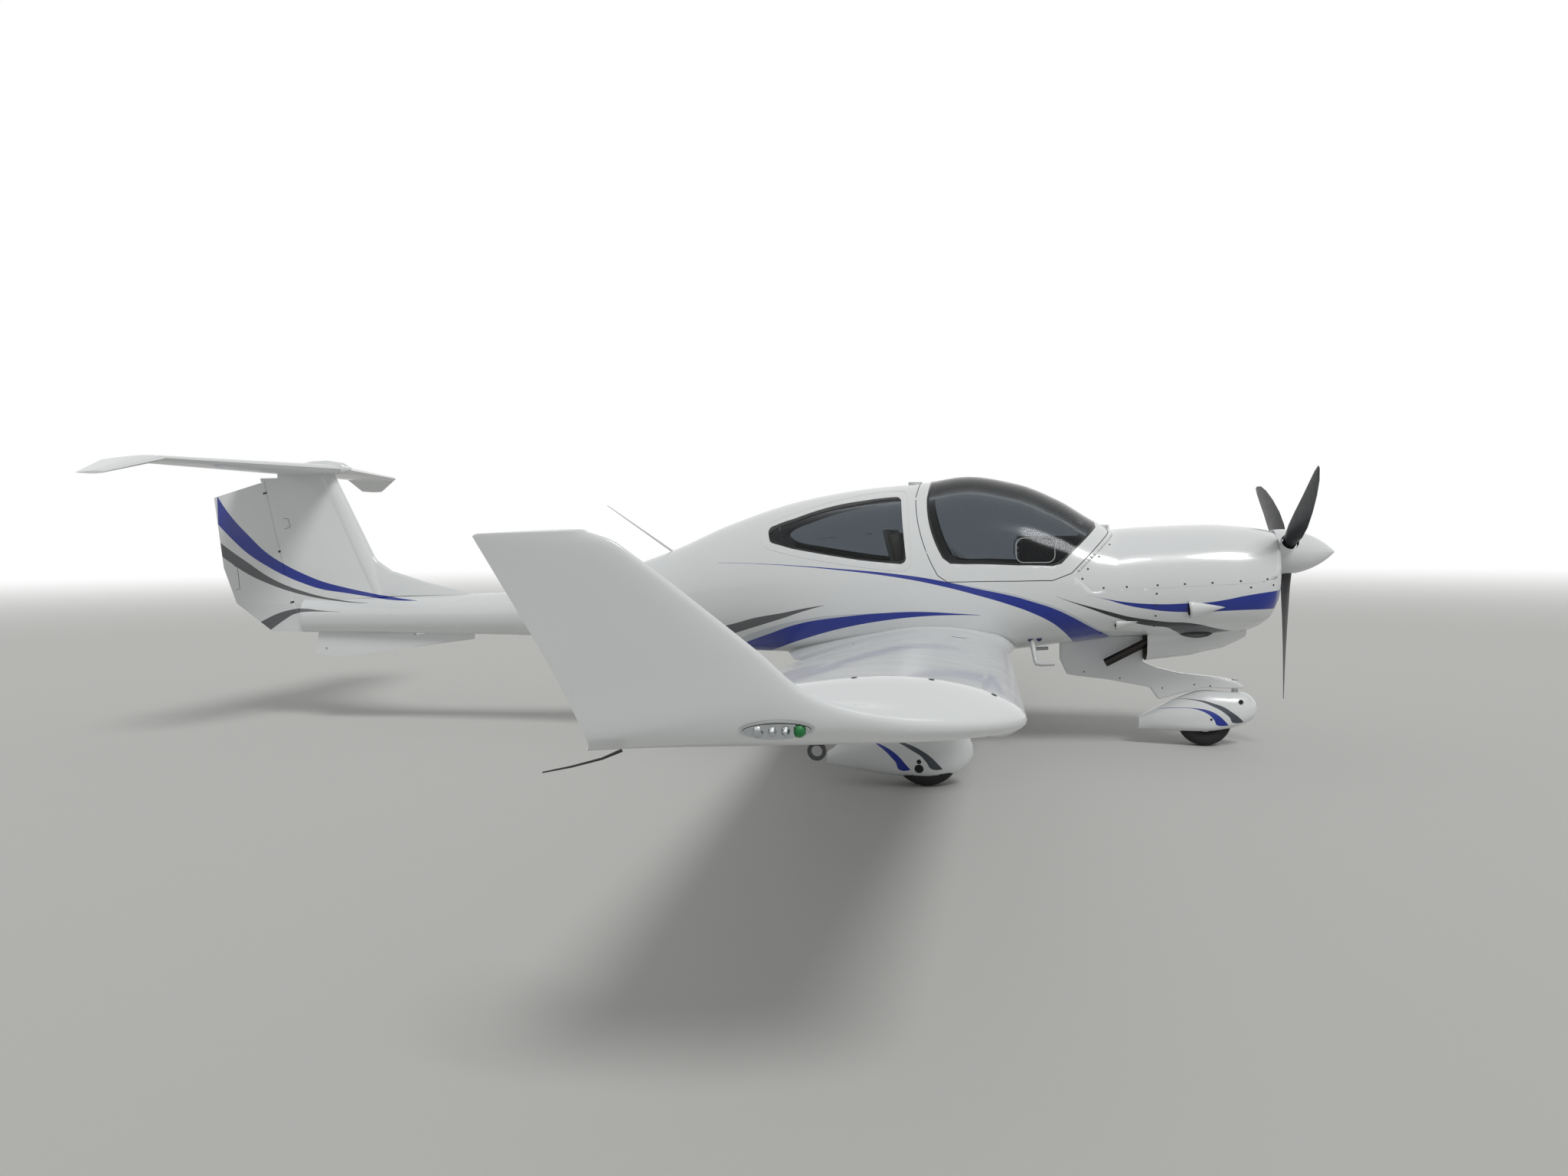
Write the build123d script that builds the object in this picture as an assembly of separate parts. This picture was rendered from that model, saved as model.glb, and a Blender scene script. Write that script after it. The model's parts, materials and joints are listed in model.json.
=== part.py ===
from build123d import *
import math
import os

# Four-seat, low-wing, single-engine light aircraft with a T-tail, built of composite
# shells. Sizes are in millimetres. A station is measured aft from the spinner's tip,
# heights are above the ground that the tyres stand on, and +Y is the left wing.

# Driving dimensions
length = 8060.0
station_of_firewall = 1250.0
shell_wall = 12.0            # sandwich wall of the fuselage
skin_wall = 5.0              # cowlings, canopy glass and spats
panel_gap = 5.0              # round everything that moves
seat_gap = 0.3               # between a fitted piece and its seat

spinner_length = 378.0
spinner_radius = 145.0
thrust_height = 1271.0
propeller_station = 298.0
propeller_radius = 950.0
blade_count = 3

wing_root_y = 620.0
wing_tip_y = 5450.0
half_span = 5815.0
wing_le_station = 2055.0
wing_tip_chord = 900.0
wing_root_le_height = 662.0
wing_dihedral = 4.15         # degrees, as it stands parked
wing_incidence = 2.5         # degrees
wing_camber = 0.045
surface_hinge_share = 0.74
flap_inner_y = 820.0
flap_outer_y = 3500.0
aileron_outer_y = 5330.0

tail_half_span = 1645.0
tail_crease_y = 1420.0
tail_height = 1925.0
tail_hinge_station = 7545.0
tail_te_station = 7795.0
boom_end_station = 7285.0
rudder_axis_low = (7338.0, 728.0)
rudder_axis_high = (7586.0, 1721.0)

main_wheel_station = 2515.0
nose_wheel_station = 790.0
wheel_track_half = 1485.0
main_tyre_radius = 193.0
main_tyre_width = 154.0
main_rim_radius = 88.0
nose_tyre_radius = 172.0
nose_tyre_width = 124.0
nose_rim_radius = 76.0
axle_radius = 16.0
castor_station = 600.0

half_length = length / 2
wide = 700.0                  # beyond the body's sides
high = 2100.0                 # above the body's top
low = 500.0                   # below the body's belly

AFT = Vector(-1, 0, 0)
UP = Vector(0, 0, 1)
LEFT = Vector(0, 1, 0)


def place(station, y, height):
    """A point of the aircraft from its station, its distance to the left and its height."""
    return Vector(half_length - station, y, height)


def arc_or_line(points):
    """The edge through two or three points."""
    if len(points) == 3:
        return Edge.make_three_point_arc(*points)
    return Edge.make_line(*points)


def closed(corners):
    """Straight runs that go round the corners and back to the first."""
    return list(zip(corners, corners[1:] + corners[:1]))


def save(name, *shapes):
    """Write the solids of the shapes as one node."""
    solids = [solid for shape in shapes for solid in shape.solids()]
    whole = solids[0] if len(solids) == 1 else Compound(solids)
    export_step(whole, f"parts/{name}.step")


def mirrored(shape):
    return mirror(shape, about=Plane.XZ)


def side_prism(runs, y_from, y_to, growth=0.0):
    """A solid whose outline, in (station, height), is grown and runs from one y to another."""
    wire = Wire([arc_or_line([place(s, y_from, z) for s, z in run]) for run in runs])
    if growth:
        wire = wire.offset_2d(growth, kind=Kind.INTERSECTION)
    return Solid.extrude(Face(wire), Vector(0, y_to - y_from, 0))


def block(station_from, station_to, y_from, y_to, z_from, z_to):
    corners = [(station_from, z_from), (station_to, z_from), (station_to, z_to), (station_from, z_to)]
    return side_prism(closed(corners), y_from, y_to)


def rod(start, end, radius, end_radius=None):
    """A round bar, or a cone with its own end radius, between two points."""
    along = end - start
    plane = Plane(origin=start, z_dir=along)
    if end_radius is None or abs(end_radius - radius) < 0.01:
        return Solid.make_cylinder(radius, along.length, plane)
    return Solid.make_cone(radius, end_radius, along.length, plane)


def quadrant(a, b, fullness):
    """Three arcs from (0, b) round to (a, 0): an oval, squarer the higher its fullness."""
    share = 2.0 / fullness

    def point(degrees):
        turn = math.radians(degrees)
        return (a * math.sin(turn) ** share, b * max(math.cos(turn), 0.0) ** share)

    return [[point(degrees) for degrees in (start, start + 15, start + 30)] for start in (0, 30, 60)]


def hull_section(station, top, bottom, half_width, waist, full_up, full_low, y=0.0, inset=0.0):
    """A closed section across a body: twelve arcs, widest at the waist."""
    a = half_width - inset
    upper = quadrant(a, top - waist - inset, full_up)
    lower = quadrant(a, waist - bottom - inset, full_low)
    runs = []
    for arcs, side, turn, backwards in (
        (upper, 1, 1, False),
        (lower, 1, -1, True),
        (lower, -1, -1, False),
        (upper, -1, 1, True),
    ):
        ordered = [arc[::-1] for arc in arcs[::-1]] if backwards else arcs
        runs += [[(side * p, turn * q) for p, q in arc] for arc in ordered]
    return Wire([arc_or_line([place(station, y + p, waist + q) for p, q in run]) for run in runs])


def hull(rows, inset=0.0, y=0.0):
    """The solid through a table of hull sections, drawn in by inset."""
    return Solid.make_loft([hull_section(*row, y=y, inset=inset) for row in rows], True)


def mean_line(share, camber):
    top_at = 0.4
    if share < top_at:
        return camber / top_at ** 2 * (2 * top_at * share - share ** 2)
    return camber / (1 - top_at) ** 2 * (1 - 2 * top_at + 2 * top_at * share - share ** 2)


def half_thickness(share, thickness):
    return 5 * thickness * (0.2969 * math.sqrt(share) - 0.1260 * share - 0.3516 * share ** 2
                            + 0.2843 * share ** 3 - 0.1015 * share ** 4)


def aerofoil_wire(le, te, up, thickness, camber=0.0):
    """An aerofoil of seven runs from its leading and trailing edge, thick towards up."""
    chord = (te - le).length
    aft = (te - le).normalized()
    square_up = (up - aft * up.dot(aft)).normalized()

    def surface(share, side):
        rise = mean_line(share, camber) + side * half_thickness(share, thickness)
        return le + aft * (share * chord) + square_up * (rise * chord)

    spans = [(0.0, 0.02, 0.10), (0.10, 0.30, 0.60), (0.60, 0.80, 1.0)]
    upper = [[surface(share, 1) for share in span] for span in spans]
    lower = [[surface(share, -1) for share in span[::-1]] for span in spans[::-1]]
    tail = [upper[-1][-1], lower[0][0]]
    return Wire([arc_or_line(run) for run in upper + [tail] + lower])


def turned(outline_runs, centre, axis=LEFT):
    """A solid of revolution from (along, radius) runs about an axis through a centre."""
    across = UP
    wire = Wire([arc_or_line([centre + axis * p + across * r for p, r in run]) for run in outline_runs])
    return Solid.revolve(Face(wire), 360, Axis(centre, axis))


bracket_thickness = 8.0
bracket_height = 24.0
hinge_pin_radius = 5.0
slot_clear = 4.0


def hinge_frame(point, axis):
    """A plane at a hinge: its x runs forward, its z along the axis."""
    forward = Vector(1, 0, 0)
    forward = (forward - axis * forward.dot(axis)).normalized()
    return Plane(origin=point, x_dir=forward, z_dir=axis)


def hinged(whole, low_end, high_end, radii, aft, slab, shares):
    """Split a tapered surface at a hinge line into its fixed and its round-nosed moving part.

    aft is the space behind the hinge line, slab(growth) the stretch along it. The fixed
    part carries a bracket at each share of the line, and the moving part a pin through it.
    """
    axis = (high_end - low_end).normalized()
    span = (high_end - low_end).length
    over = 60.0
    slope = (radii[1] - radii[0]) / span

    def nose(growth):
        return rod(low_end - axis * over, high_end + axis * over, radii[0] - slope * over + growth,
                   radii[1] + slope * over + growth)

    moving = whole & slab(0) & (aft + nose(0))
    fixed = whole - (slab(panel_gap) & (aft + nose(panel_gap)))
    for share in shares:
        radius = radii[0] + slope * span * share
        plane = hinge_frame(low_end + axis * (span * share), axis)
        half_slot = bracket_thickness / 2 + slot_clear
        slot = rod(plane.origin - axis * half_slot, plane.origin + axis * half_slot, radius + slot_clear)
        pin = rod(plane.origin - axis * (half_slot + 6), plane.origin + axis * (half_slot + 6),
                  hinge_pin_radius)
        moving = (moving - slot) + pin
        reach = radius + panel_gap + 14
        arm = plane.location * Pos(reach / 2, 0, 0) * Box(reach, bracket_height, bracket_thickness)
        eye = rod(plane.origin - axis * (bracket_thickness / 2), plane.origin + axis * (bracket_thickness / 2),
                  bracket_height / 2)
        hole = rod(plane.origin - axis * bracket_thickness, plane.origin + axis * bracket_thickness,
                   hinge_pin_radius + seat_gap)
        fixed = fixed + ((arm + eye) - hole)
    return fixed, moving


os.makedirs("parts", exist_ok=True)

# Body lines. Columns: station, top, bottom, half width, waist height, upper fullness,
# lower fullness. The same table gives the cowlings, the canopy, the door and the boom.
body_sections = [
    (395.0, 1403.0, 905.0, 330.0, 1160.0, 2.3, 2.3),
    (440.0, 1417.0, 830.0, 405.0, 1120.0, 2.35, 2.35),
    (560.0, 1436.0, 768.0, 458.0, 1090.0, 2.4, 2.45),
    (800.0, 1452.0, 742.0, 492.0, 1070.0, 2.45, 2.5),
    (1250.0, 1437.0, 730.0, 520.0, 1060.0, 2.45, 2.6),
    (1400.0, 1424.0, 722.0, 536.0, 1062.0, 2.4, 2.6),
    (1520.0, 1492.0, 706.0, 550.0, 1065.0, 2.2, 2.6),
    (1740.0, 1628.0, 672.0, 574.0, 1075.0, 2.15, 2.6),
    (2000.0, 1735.0, 635.0, 594.0, 1085.0, 2.15, 2.6),
    (2330.0, 1790.0, 602.0, 604.0, 1090.0, 2.15, 2.55),
    (2640.0, 1748.0, 592.0, 602.0, 1090.0, 2.15, 2.5),
    (3000.0, 1718.0, 590.0, 585.0, 1088.0, 2.12, 2.4),
    (3450.0, 1644.0, 592.0, 530.0, 1078.0, 2.1, 2.3),
    (3950.0, 1490.0, 604.0, 422.0, 1040.0, 2.05, 2.2),
    (4400.0, 1300.0, 625.0, 312.0, 975.0, 2.0, 2.1),
    (4900.0, 1140.0, 655.0, 228.0, 905.0, 2.0, 2.05),
    (5700.0, 1000.0, 690.0, 165.0, 850.0, 2.0, 2.0),
    (boom_end_station, 958.0, 697.0, 105.0, 832.0, 2.0, 2.0),
]
cowl_front = body_sections[0][0]
body = hull(body_sections)
body_inner = hull(body_sections, inset=shell_wall)
body_under_skin = hull(body_sections, inset=skin_wall)
shell = body - body_inner
skin = body - body_under_skin

# Side outlines of the panels, in (station, height)
lower_cowl_end = 1178.0
cowl_seam_front = (cowl_front - 15, 1101.0)
cowl_seam_step = (lower_cowl_end, 1059.0)
upper_cowl_runs = closed([cowl_seam_front, cowl_seam_step, (1545.0, 1040.0), (1650.0, 1140.0),
                          (1408.0, 1385.0), (1392.0, high), (cowl_front - 15, high)])
lower_cowl_runs = closed([cowl_seam_front, (cowl_front - 15, low), (lower_cowl_end, low), cowl_seam_step])
canopy_runs = [
    ((1672.0, 1152.0), (1430.0, 1404.0)),
    ((1430.0, 1404.0), (1418.0, high)),
    ((1418.0, high), (2590.0, high)),
    ((2590.0, high), (2655.0, 1640.0)),
    ((2655.0, 1640.0), (2606.0, 1380.0), (2500.0, 1140.0)),
    ((2500.0, 1140.0), (2440.0, 1098.0)),
    ((2440.0, 1098.0), (1790.0, 1106.0)),
    ((1790.0, 1106.0), (1672.0, 1152.0)),
]
glass_runs = [
    ((1735.0, 1214.0), (1510.0, 1440.0)),
    ((1510.0, 1440.0), (1490.0, high)),
    ((1490.0, high), (2520.0, high)),
    ((2520.0, high), (2580.0, 1640.0)),
    ((2580.0, 1640.0), (2541.0, 1410.0), (2468.0, 1250.0)),
    ((2468.0, 1250.0), (2420.0, 1215.0)),
    ((2420.0, 1215.0), (1790.0, 1198.0)),
    ((1790.0, 1198.0), (1735.0, 1214.0)),
]
window_runs = [
    ((2694.0, 1212.0), (2750.0, 1652.0)),
    ((2750.0, 1652.0), (3240.0, 1580.0), (3640.0, 1442.0)),
    ((3640.0, 1442.0), (3612.0, 1350.0)),
    ((3612.0, 1350.0), (3160.0, 1262.0), (2694.0, 1212.0)),
]
window_corner_radius = 38.0
door_margin = 62.0
side_reach = 60.0             # how near to the middle a side opening cuts


def side_opening(side, growth):
    """The rear window's rounded outline, grown all round, through one wall of the cabin."""
    wire = Wire([arc_or_line([place(s, side * wide, z) for s, z in run]) for run in window_runs])
    wire = wire.fillet_2d(window_corner_radius, wire.vertices())
    if growth:
        wire = wire.offset_2d(growth, kind=Kind.ARC)
    return Solid.extrude(Face(wire), Vector(0, side * (side_reach - wide), 0))


# Cowlings: two thin shells round the engine, split along a nearly level seam, with a
# front wall that has two cheek inlets and a chin inlet, and an air scoop underneath
inlet_height = 1120.0
inlet_y = 232.0
inlet_radius = 62.0
chin_height = 985.0
chin_half_width = 120.0
chin_radius = 40.0
front_wall = body & block(cowl_front, cowl_front + skin_wall, -wide, wide, low, high)
spinner_hole = rod(place(cowl_front - 50, 0, thrust_height), place(cowl_front + 50, 0, thrust_height),
                   spinner_radius * 0.86)
inlets = [rod(place(cowl_front - 50, side * inlet_y, inlet_height + rise),
              place(cowl_front + 50, side * inlet_y, inlet_height + rise), inlet_radius)
          for side in (1, -1) for rise in (-25.0, 25.0)]
chin = block(cowl_front - 50, cowl_front + 50, -chin_half_width, chin_half_width,
             chin_height - chin_radius, chin_height + chin_radius)
front_wall = front_wall - spinner_hole - inlets[0] - inlets[1] - inlets[2] - inlets[3] - chin
# Columns as in the body's table
scoop_sections = [
    (560.0, 860.0, 716.0, 150.0, 800.0, 2.4, 2.6),
    (700.0, 860.0, 654.0, 192.0, 770.0, 2.5, 3.0),
    (900.0, 860.0, 602.0, 215.0, 745.0, 2.5, 3.4),
    (lower_cowl_end, 860.0, 564.0, 224.0, 730.0, 2.5, 3.6),
]
scoop = hull(scoop_sections)
scoop_air = hull(scoop_sections, inset=skin_wall)
upper_cowling = (skin + front_wall) & side_prism(upper_cowl_runs, -wide, wide, growth=-seat_gap)
lower_cowling = ((body + scoop) - body_under_skin - scoop_air) + front_wall
lower_cowling = lower_cowling & side_prism(lower_cowl_runs, -wide, wide, growth=-seat_gap)
save("upper_cowling", upper_cowling)
save("lower_cowling", lower_cowling)

# Fuselage: one moulded shell with its firewall, a baggage bulkhead, the boom and its end
bulkhead_thickness = 14.0
baggage_bulkhead = 3760.0
nose_space = block(cowl_front - 100, lower_cowl_end, -wide, wide, low, high)
over_firewall = side_prism(upper_cowl_runs, -wide, wide) & block(
    cowl_front - 100, station_of_firewall, -wide, wide, low, high)
walls = [
    body_under_skin & block(station, station + bulkhead_thickness, -wide, wide, low, high)
    for station in (station_of_firewall, baggage_bulkhead, boom_end_station - bulkhead_thickness)
]
fuselage = shell + walls[0] + walls[1] + walls[2]
cowl_seat = (body - hull(body_sections, inset=skin_wall + seat_gap)) & side_prism(upper_cowl_runs, -wide, wide)
fuselage = fuselage - nose_space - over_firewall - cowl_seat
door_hinge_front = place(2850.0, 200.0, 1706.0)
door_hinge_rear = place(3230.0, 211.0, 1646.5)
door_axis = (door_hinge_front - door_hinge_rear).normalized()
door_outward = (LEFT * math.cos(math.radians(24)) - UP * math.sin(math.radians(24))).normalized()
door_outward = (door_outward - door_axis * door_outward.dot(door_axis)).normalized()
door_inward = (-LEFT + door_axis * LEFT.dot(door_axis)).normalized()


def inboard_of_door(shift):
    """The space on the roof's side of the door's hinge line, moved outboard by a shift."""
    plane = Plane(origin=(door_hinge_front + door_hinge_rear) / 2, x_dir=door_outward, z_dir=door_axis)
    return plane.location * Pos(shift - 150, 0, 0) * Box(300, 300, 2500)


fuselage = fuselage - side_prism(canopy_runs, -wide, wide) - side_opening(-1, 0)
fuselage = fuselage - (side_opening(1, door_margin) - inboard_of_door(0))

# Knuckle hinges of the canopy and the door: an eye on the moving piece between two
# cheeks, which carry the pin
knuckle_radius = 7.0
knuckle_half_width = 12.0
cheek_width = 9.0
knuckle_pin_radius = 3.5
cheek_clear = 1.0


def bar(plane, reach, z_from, z_to):
    """A bar with a round end on the plane's origin, running along its x."""
    middle = (z_from + z_to) / 2
    width = z_to - z_from
    straight = plane.location * Pos(reach / 2, 0, middle) * Box(reach, 2 * knuckle_radius, width)
    return straight + rod(plane.origin + plane.z_dir * z_from, plane.origin + plane.z_dir * z_to, knuckle_radius)


def knuckle(point, axis, to_moving, moving_reach, to_fixed, fixed_reach):
    """The moving and the fixed part of one hinge, and the room that it needs."""
    moving_plane = Plane(origin=point, x_dir=to_moving, z_dir=axis)
    fixed_plane = Plane(origin=point, x_dir=to_fixed, z_dir=axis)
    outer = knuckle_half_width + cheek_clear + cheek_width
    eye = bar(moving_plane, moving_reach, -knuckle_half_width, knuckle_half_width)
    eye = eye - rod(point - axis * outer, point + axis * outer, knuckle_pin_radius + seat_gap)
    cheeks = bar(fixed_plane, fixed_reach, -outer, -outer + cheek_width)
    cheeks = cheeks + bar(fixed_plane, fixed_reach, outer - cheek_width, outer)
    cheeks = cheeks + rod(point - axis * (outer - 1), point + axis * (outer - 1), knuckle_pin_radius)
    return eye, cheeks


# Canopy: a frame with one blown transparency, hinged at its front edge
canopy_hinge_station = 1420.0
canopy_hinge_height = 1449.0
canopy_hinge_y = 110.0
canopy_shape = side_prism(canopy_runs, -wide, wide, growth=-panel_gap)
canopy_frame = (shell & canopy_shape) - side_prism(glass_runs, -wide, wide)
canopy_glass = skin & side_prism(glass_runs, -wide, wide, growth=-seat_gap)
for side in (1, -1):
    point = place(canopy_hinge_station, side * canopy_hinge_y, canopy_hinge_height)
    eye, cheeks = knuckle(point, LEFT, AFT, 42.0, -UP, 26.0)
    reach = knuckle_half_width + cheek_clear
    under_eye = block(canopy_hinge_station - 8, canopy_hinge_station + 14, side * canopy_hinge_y - reach,
                      side * canopy_hinge_y + reach, canopy_hinge_height - 18, high)
    fuselage = (fuselage - under_eye) + cheeks
    canopy_frame = canopy_frame + eye
save("canopy_frame", canopy_frame)
save("canopy_glass", canopy_glass)

# Rear door on the left: a moulded panel with its own window, hinged along the roof
rear_window = skin & side_opening(-1, -seat_gap)
door_window = skin & side_opening(1, -seat_gap)
door_panel = (shell & side_opening(1, door_margin - panel_gap)) - side_opening(1, 0)
door_panel = door_panel - inboard_of_door(panel_gap)
# The skin lies well under the hinge line ahead of the front hinge and behind the rear
# one, so the door's edge rises there as it swings and needs a wider gap
door_rise_gap = 9.0
narrower = side_opening(1, door_margin - panel_gap - door_rise_gap)
for zone in (block(2640.0, 2752.0, 120.0, 330.0, 1640.0, 1800.0), block(3320.0, 3760.0, 120.0, 420.0, 1470.0, 1700.0)):
    door_panel = door_panel - (zone - narrower)
cheek_reach = knuckle_half_width + cheek_clear + cheek_width + panel_gap
for point in (door_hinge_front, door_hinge_rear):
    eye, cheeks = knuckle(point, door_axis, door_outward, 34.0, door_inward, 26.0)
    reach = knuckle_half_width + cheek_clear
    plane = Plane(origin=point, x_dir=door_outward, z_dir=door_axis)
    under_eye = plane.location * Pos(4, 0, 0) * Box(26, 60, 2 * reach)
    beside_cheeks = plane.location * Box(2 * (knuckle_radius + panel_gap), 60, 2 * cheek_reach)
    fuselage = (fuselage - under_eye) + cheeks
    door_panel = (door_panel - beside_cheeks) + eye
save("rear_window", rear_window)
save("rear_door_window", door_window)
save("rear_door_panel", door_panel)

# Engine: one plain block on the firewall, with its propeller shaft
engine_front = 500.0
engine_half_width = 205.0
engine_bottom = 900.0
engine_top = 1335.0
shaft_radius = 46.0
engine = block(engine_front, station_of_firewall, -engine_half_width, engine_half_width,
               engine_bottom, engine_top)
engine = engine + rod(place(cowl_front, 0, thrust_height), place(engine_front + 10, 0, thrust_height),
                      shaft_radius)
save("engine_block", engine)

# Exhaust: a straight stub that leaves the scoop under the belly
exhaust_radius = 27.0
exhaust_wall = 3.0
exhaust_y = -150.0
exhaust_end = place(1435.0, exhaust_y, 552.0)
exhaust_start = place(760.0, exhaust_y, 912.4)
exhaust_run = exhaust_end - exhaust_start
exhaust_bore = rod(exhaust_start + exhaust_run * 0.64, exhaust_end + exhaust_run * 0.1,
                   exhaust_radius - exhaust_wall)
save("exhaust_pipe", rod(exhaust_start, exhaust_end, exhaust_radius) - exhaust_bore - engine)

# Propeller: hub with backplate, an ogive spinner and swept, twisted blades
hub_axis_point = place(0, 0, thrust_height)
backplate = 5.0
hub_radius = 78.0
socket_radius = 46.0
socket_end = 112.0
blade_hole_radius = 54.0


def on_shaft(runs):
    return turned([[(-s, r) for s, r in run] for run in runs], hub_axis_point, Vector(1, 0, 0))


def cylinder_on_shaft(station_from, station_to, radius):
    return on_shaft(closed([(station_from, 0.0), (station_from, radius), (station_to, radius),
                            (station_to, 0.0)]))


spinner_skin = 3.0
nose_point = (0.0, 0.0)
spinner_base = (spinner_length, spinner_radius)
spinner_outer = (nose_point, (spinner_length * 0.36, spinner_radius * 0.70), spinner_base)
spinner_inner = ((spinner_length, spinner_radius - spinner_skin),
                 (spinner_length * 0.37, spinner_radius * 0.66), (spinner_skin * 2, 0.0))
spinner = on_shaft([spinner_outer, (spinner_base, spinner_inner[0]), spinner_inner,
                    (spinner_inner[-1], nose_point)])
hub = cylinder_on_shaft(propeller_station - 55, spinner_length + 0.5, hub_radius)
hub = hub + cylinder_on_shaft(spinner_length, spinner_length + backplate, spinner_radius)
hub = hub + cylinder_on_shaft(spinner_length, cowl_front - seat_gap, shaft_radius)
# Columns: radius, chord, thickness, pitch in degrees, sweep of the middle of the chord
blade_sections = [
    (socket_end, 84.0, 84.0, 55.0, 0.0),
    (175.0, 90.0, 62.0, 50.0, 0.0),
    (270.0, 116.0, 32.0, 39.0, 4.0),
    (420.0, 130.0, 20.0, 29.0, 8.0),
    (600.0, 122.0, 14.0, 22.0, 6.0),
    (760.0, 102.0, 10.0, 18.0, -4.0),
    (880.0, 70.0, 7.0, 16.0, -18.0),
    (propeller_radius, 22.0, 4.0, 15.0, -34.0),
]


def blade_wire(radius, chord, thickness, pitch, sweep):
    """A blade section of two arcs; the leading edge faces the right wing on the top blade."""
    turn = math.radians(pitch)
    forward = Vector(math.sin(turn), -math.cos(turn), 0)
    face = Vector(math.cos(turn), math.sin(turn), 0)
    middle = place(propeller_station, 0, thrust_height + radius) + forward * sweep
    le = middle + forward * (chord / 2)
    te = middle - forward * (chord / 2)
    return Wire([arc_or_line([te, middle + face * (thickness / 2), le]),
                 arc_or_line([le, middle - face * (thickness / 2), te])])


blade = Solid.make_loft([blade_wire(*row) for row in blade_sections], True)
shaft_line = Axis(hub_axis_point, Vector(1, 0, 0))
blades = []
for index in range(blade_count):
    turn = 180.0 + index * 360.0 / blade_count
    blades.append(blade.rotate(shaft_line, turn))
    root = place(propeller_station, 0, thrust_height)
    socket = rod(root, root + UP * socket_end, socket_radius).rotate(shaft_line, turn)
    hole = rod(root, root + UP * (spinner_radius + 40), blade_hole_radius).rotate(shaft_line, turn)
    hub = hub + socket
    spinner = spinner - hole
save("spinner", spinner)
save("propeller_hub", hub)
save("propeller_blades", *blades)

# Wings: solid panels between a fillet at the body and a tip with its winglet.
# Columns: y, leading edge station, chord, thickness share, rise of the leading edge
wing_rows = [
    (wing_root_y, wing_le_station - 5, 1370.0, 0.152, 0.0),
    (950.0, wing_le_station, 1262.0, 0.146, 0.0),
    (wing_tip_y, wing_le_station, wing_tip_chord, 0.137, 0.0),
]
fillet_rows = [
    (260.0, wing_le_station - 60, 1530.0, 0.150, 46.0),
    wing_rows[0],
]


def wing_edges(y):
    """Leading and trailing edge points and thickness of the wing at a distance from the middle."""
    rows = wing_rows
    pair = (rows[0], rows[1]) if y < rows[1][0] else (rows[1], rows[2])
    share = (y - pair[0][0]) / (pair[1][0] - pair[0][0])
    station, chord, thickness, lift = [a + (b - a) * share for a, b in zip(pair[0][1:], pair[1][1:])]
    return wing_line(y, station, chord, lift), thickness


def wing_line(y, station, chord, lift):
    rise = (y - wing_root_y) * math.tan(math.radians(wing_dihedral)) + lift
    le = place(station, y, wing_root_le_height + rise)
    turn = math.radians(wing_incidence)
    te = le + Vector(-math.cos(turn), 0, -math.sin(turn)) * chord
    return le, te


def wing_wire(y, station, chord, thickness, lift):
    le, te = wing_line(y, station, chord, lift)
    return aerofoil_wire(le, te, UP, thickness, wing_camber)


def wing_hinge(y):
    """The hinge point of a trailing edge surface and half the wing's thickness there."""
    (le, te), thickness = wing_edges(y)
    chord = (te - le).length
    up = Vector(math.sin(math.radians(wing_incidence)) * -1, 0, math.cos(math.radians(wing_incidence)))
    point = le + (te - le) * surface_hinge_share
    point = point + up * (mean_line(surface_hinge_share, wing_camber) * chord)
    return point, half_thickness(surface_hinge_share, thickness) * chord


def wing_surface(whole, y_from, y_to, shares):
    low_end, low_radius = wing_hinge(y_from)
    high_end, high_radius = wing_hinge(y_to)
    axis = (high_end - low_end).normalized()
    over = axis * 80
    far = Vector(-900, 0, 0)
    corners = [low_end - over, high_end + over, high_end + over + far, low_end - over + far]
    flat = [Vector(c.X, c.Y, low) for c in corners]
    aft = Solid.extrude(Face(Wire([arc_or_line(run) for run in closed(flat)])), Vector(0, 0, 1000))

    def slab(growth):
        return block(1500.0, 4000.0, y_from - growth, y_to + growth, low - 50, low + 1050)

    return hinged(whole, low_end, high_end, (low_radius, high_radius), aft, slab, shares)


fillet = Solid.make_loft([wing_wire(*row) for row in fillet_rows], True) - body
fillet = max(fillet.solids(), key=lambda solid: solid.volume)
wing = Solid.make_loft([wing_wire(*row) for row in wing_rows], True)
wing = wing & block(1000.0, 5000.0, wing_root_y + seat_gap, wing_tip_y - seat_gap, low - 200, high)
wing, flap = wing_surface(wing, flap_inner_y, flap_outer_y, (0.08, 0.5, 0.92))
wing, aileron = wing_surface(wing, flap_outer_y + panel_gap, aileron_outer_y, (0.1, 0.9))

# Winglet: the tip turns up through a swept blend. Columns: leading edge (station, y,
# height), trailing edge (station, y, height), tilt in degrees, thickness share
winglet_rows = [
    ((2140.0, 5580.0, 1026.0), (2962.0, 5585.0, 962.0), 20.0, 0.130),
    ((2330.0, 5658.0, 1050.0), (2950.0, 5662.0, 962.0), 48.0, 0.125),
    ((2472.0, 5700.0, 1092.0), (2932.0, 5700.0, 985.0), 68.0, 0.105),
    ((2572.0, 5735.0, 1180.0), (2968.0, 5728.0, 1085.0), 76.0, 0.090),
    ((2856.0, half_span - 9, 1412.0), (3122.0, half_span - 7, 1405.0), 78.0, 0.085),
]
tip_wires = [wing_wire(*wing_rows[-1])]
for le, te, tilt, thickness in winglet_rows:
    turn = math.radians(tilt)
    up = UP * math.cos(turn) - LEFT * math.sin(turn)
    tip_wires.append(aerofoil_wire(place(*le), place(*te), up, thickness, 0.01))
winglet = Solid.make_loft(tip_wires, True)

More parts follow.
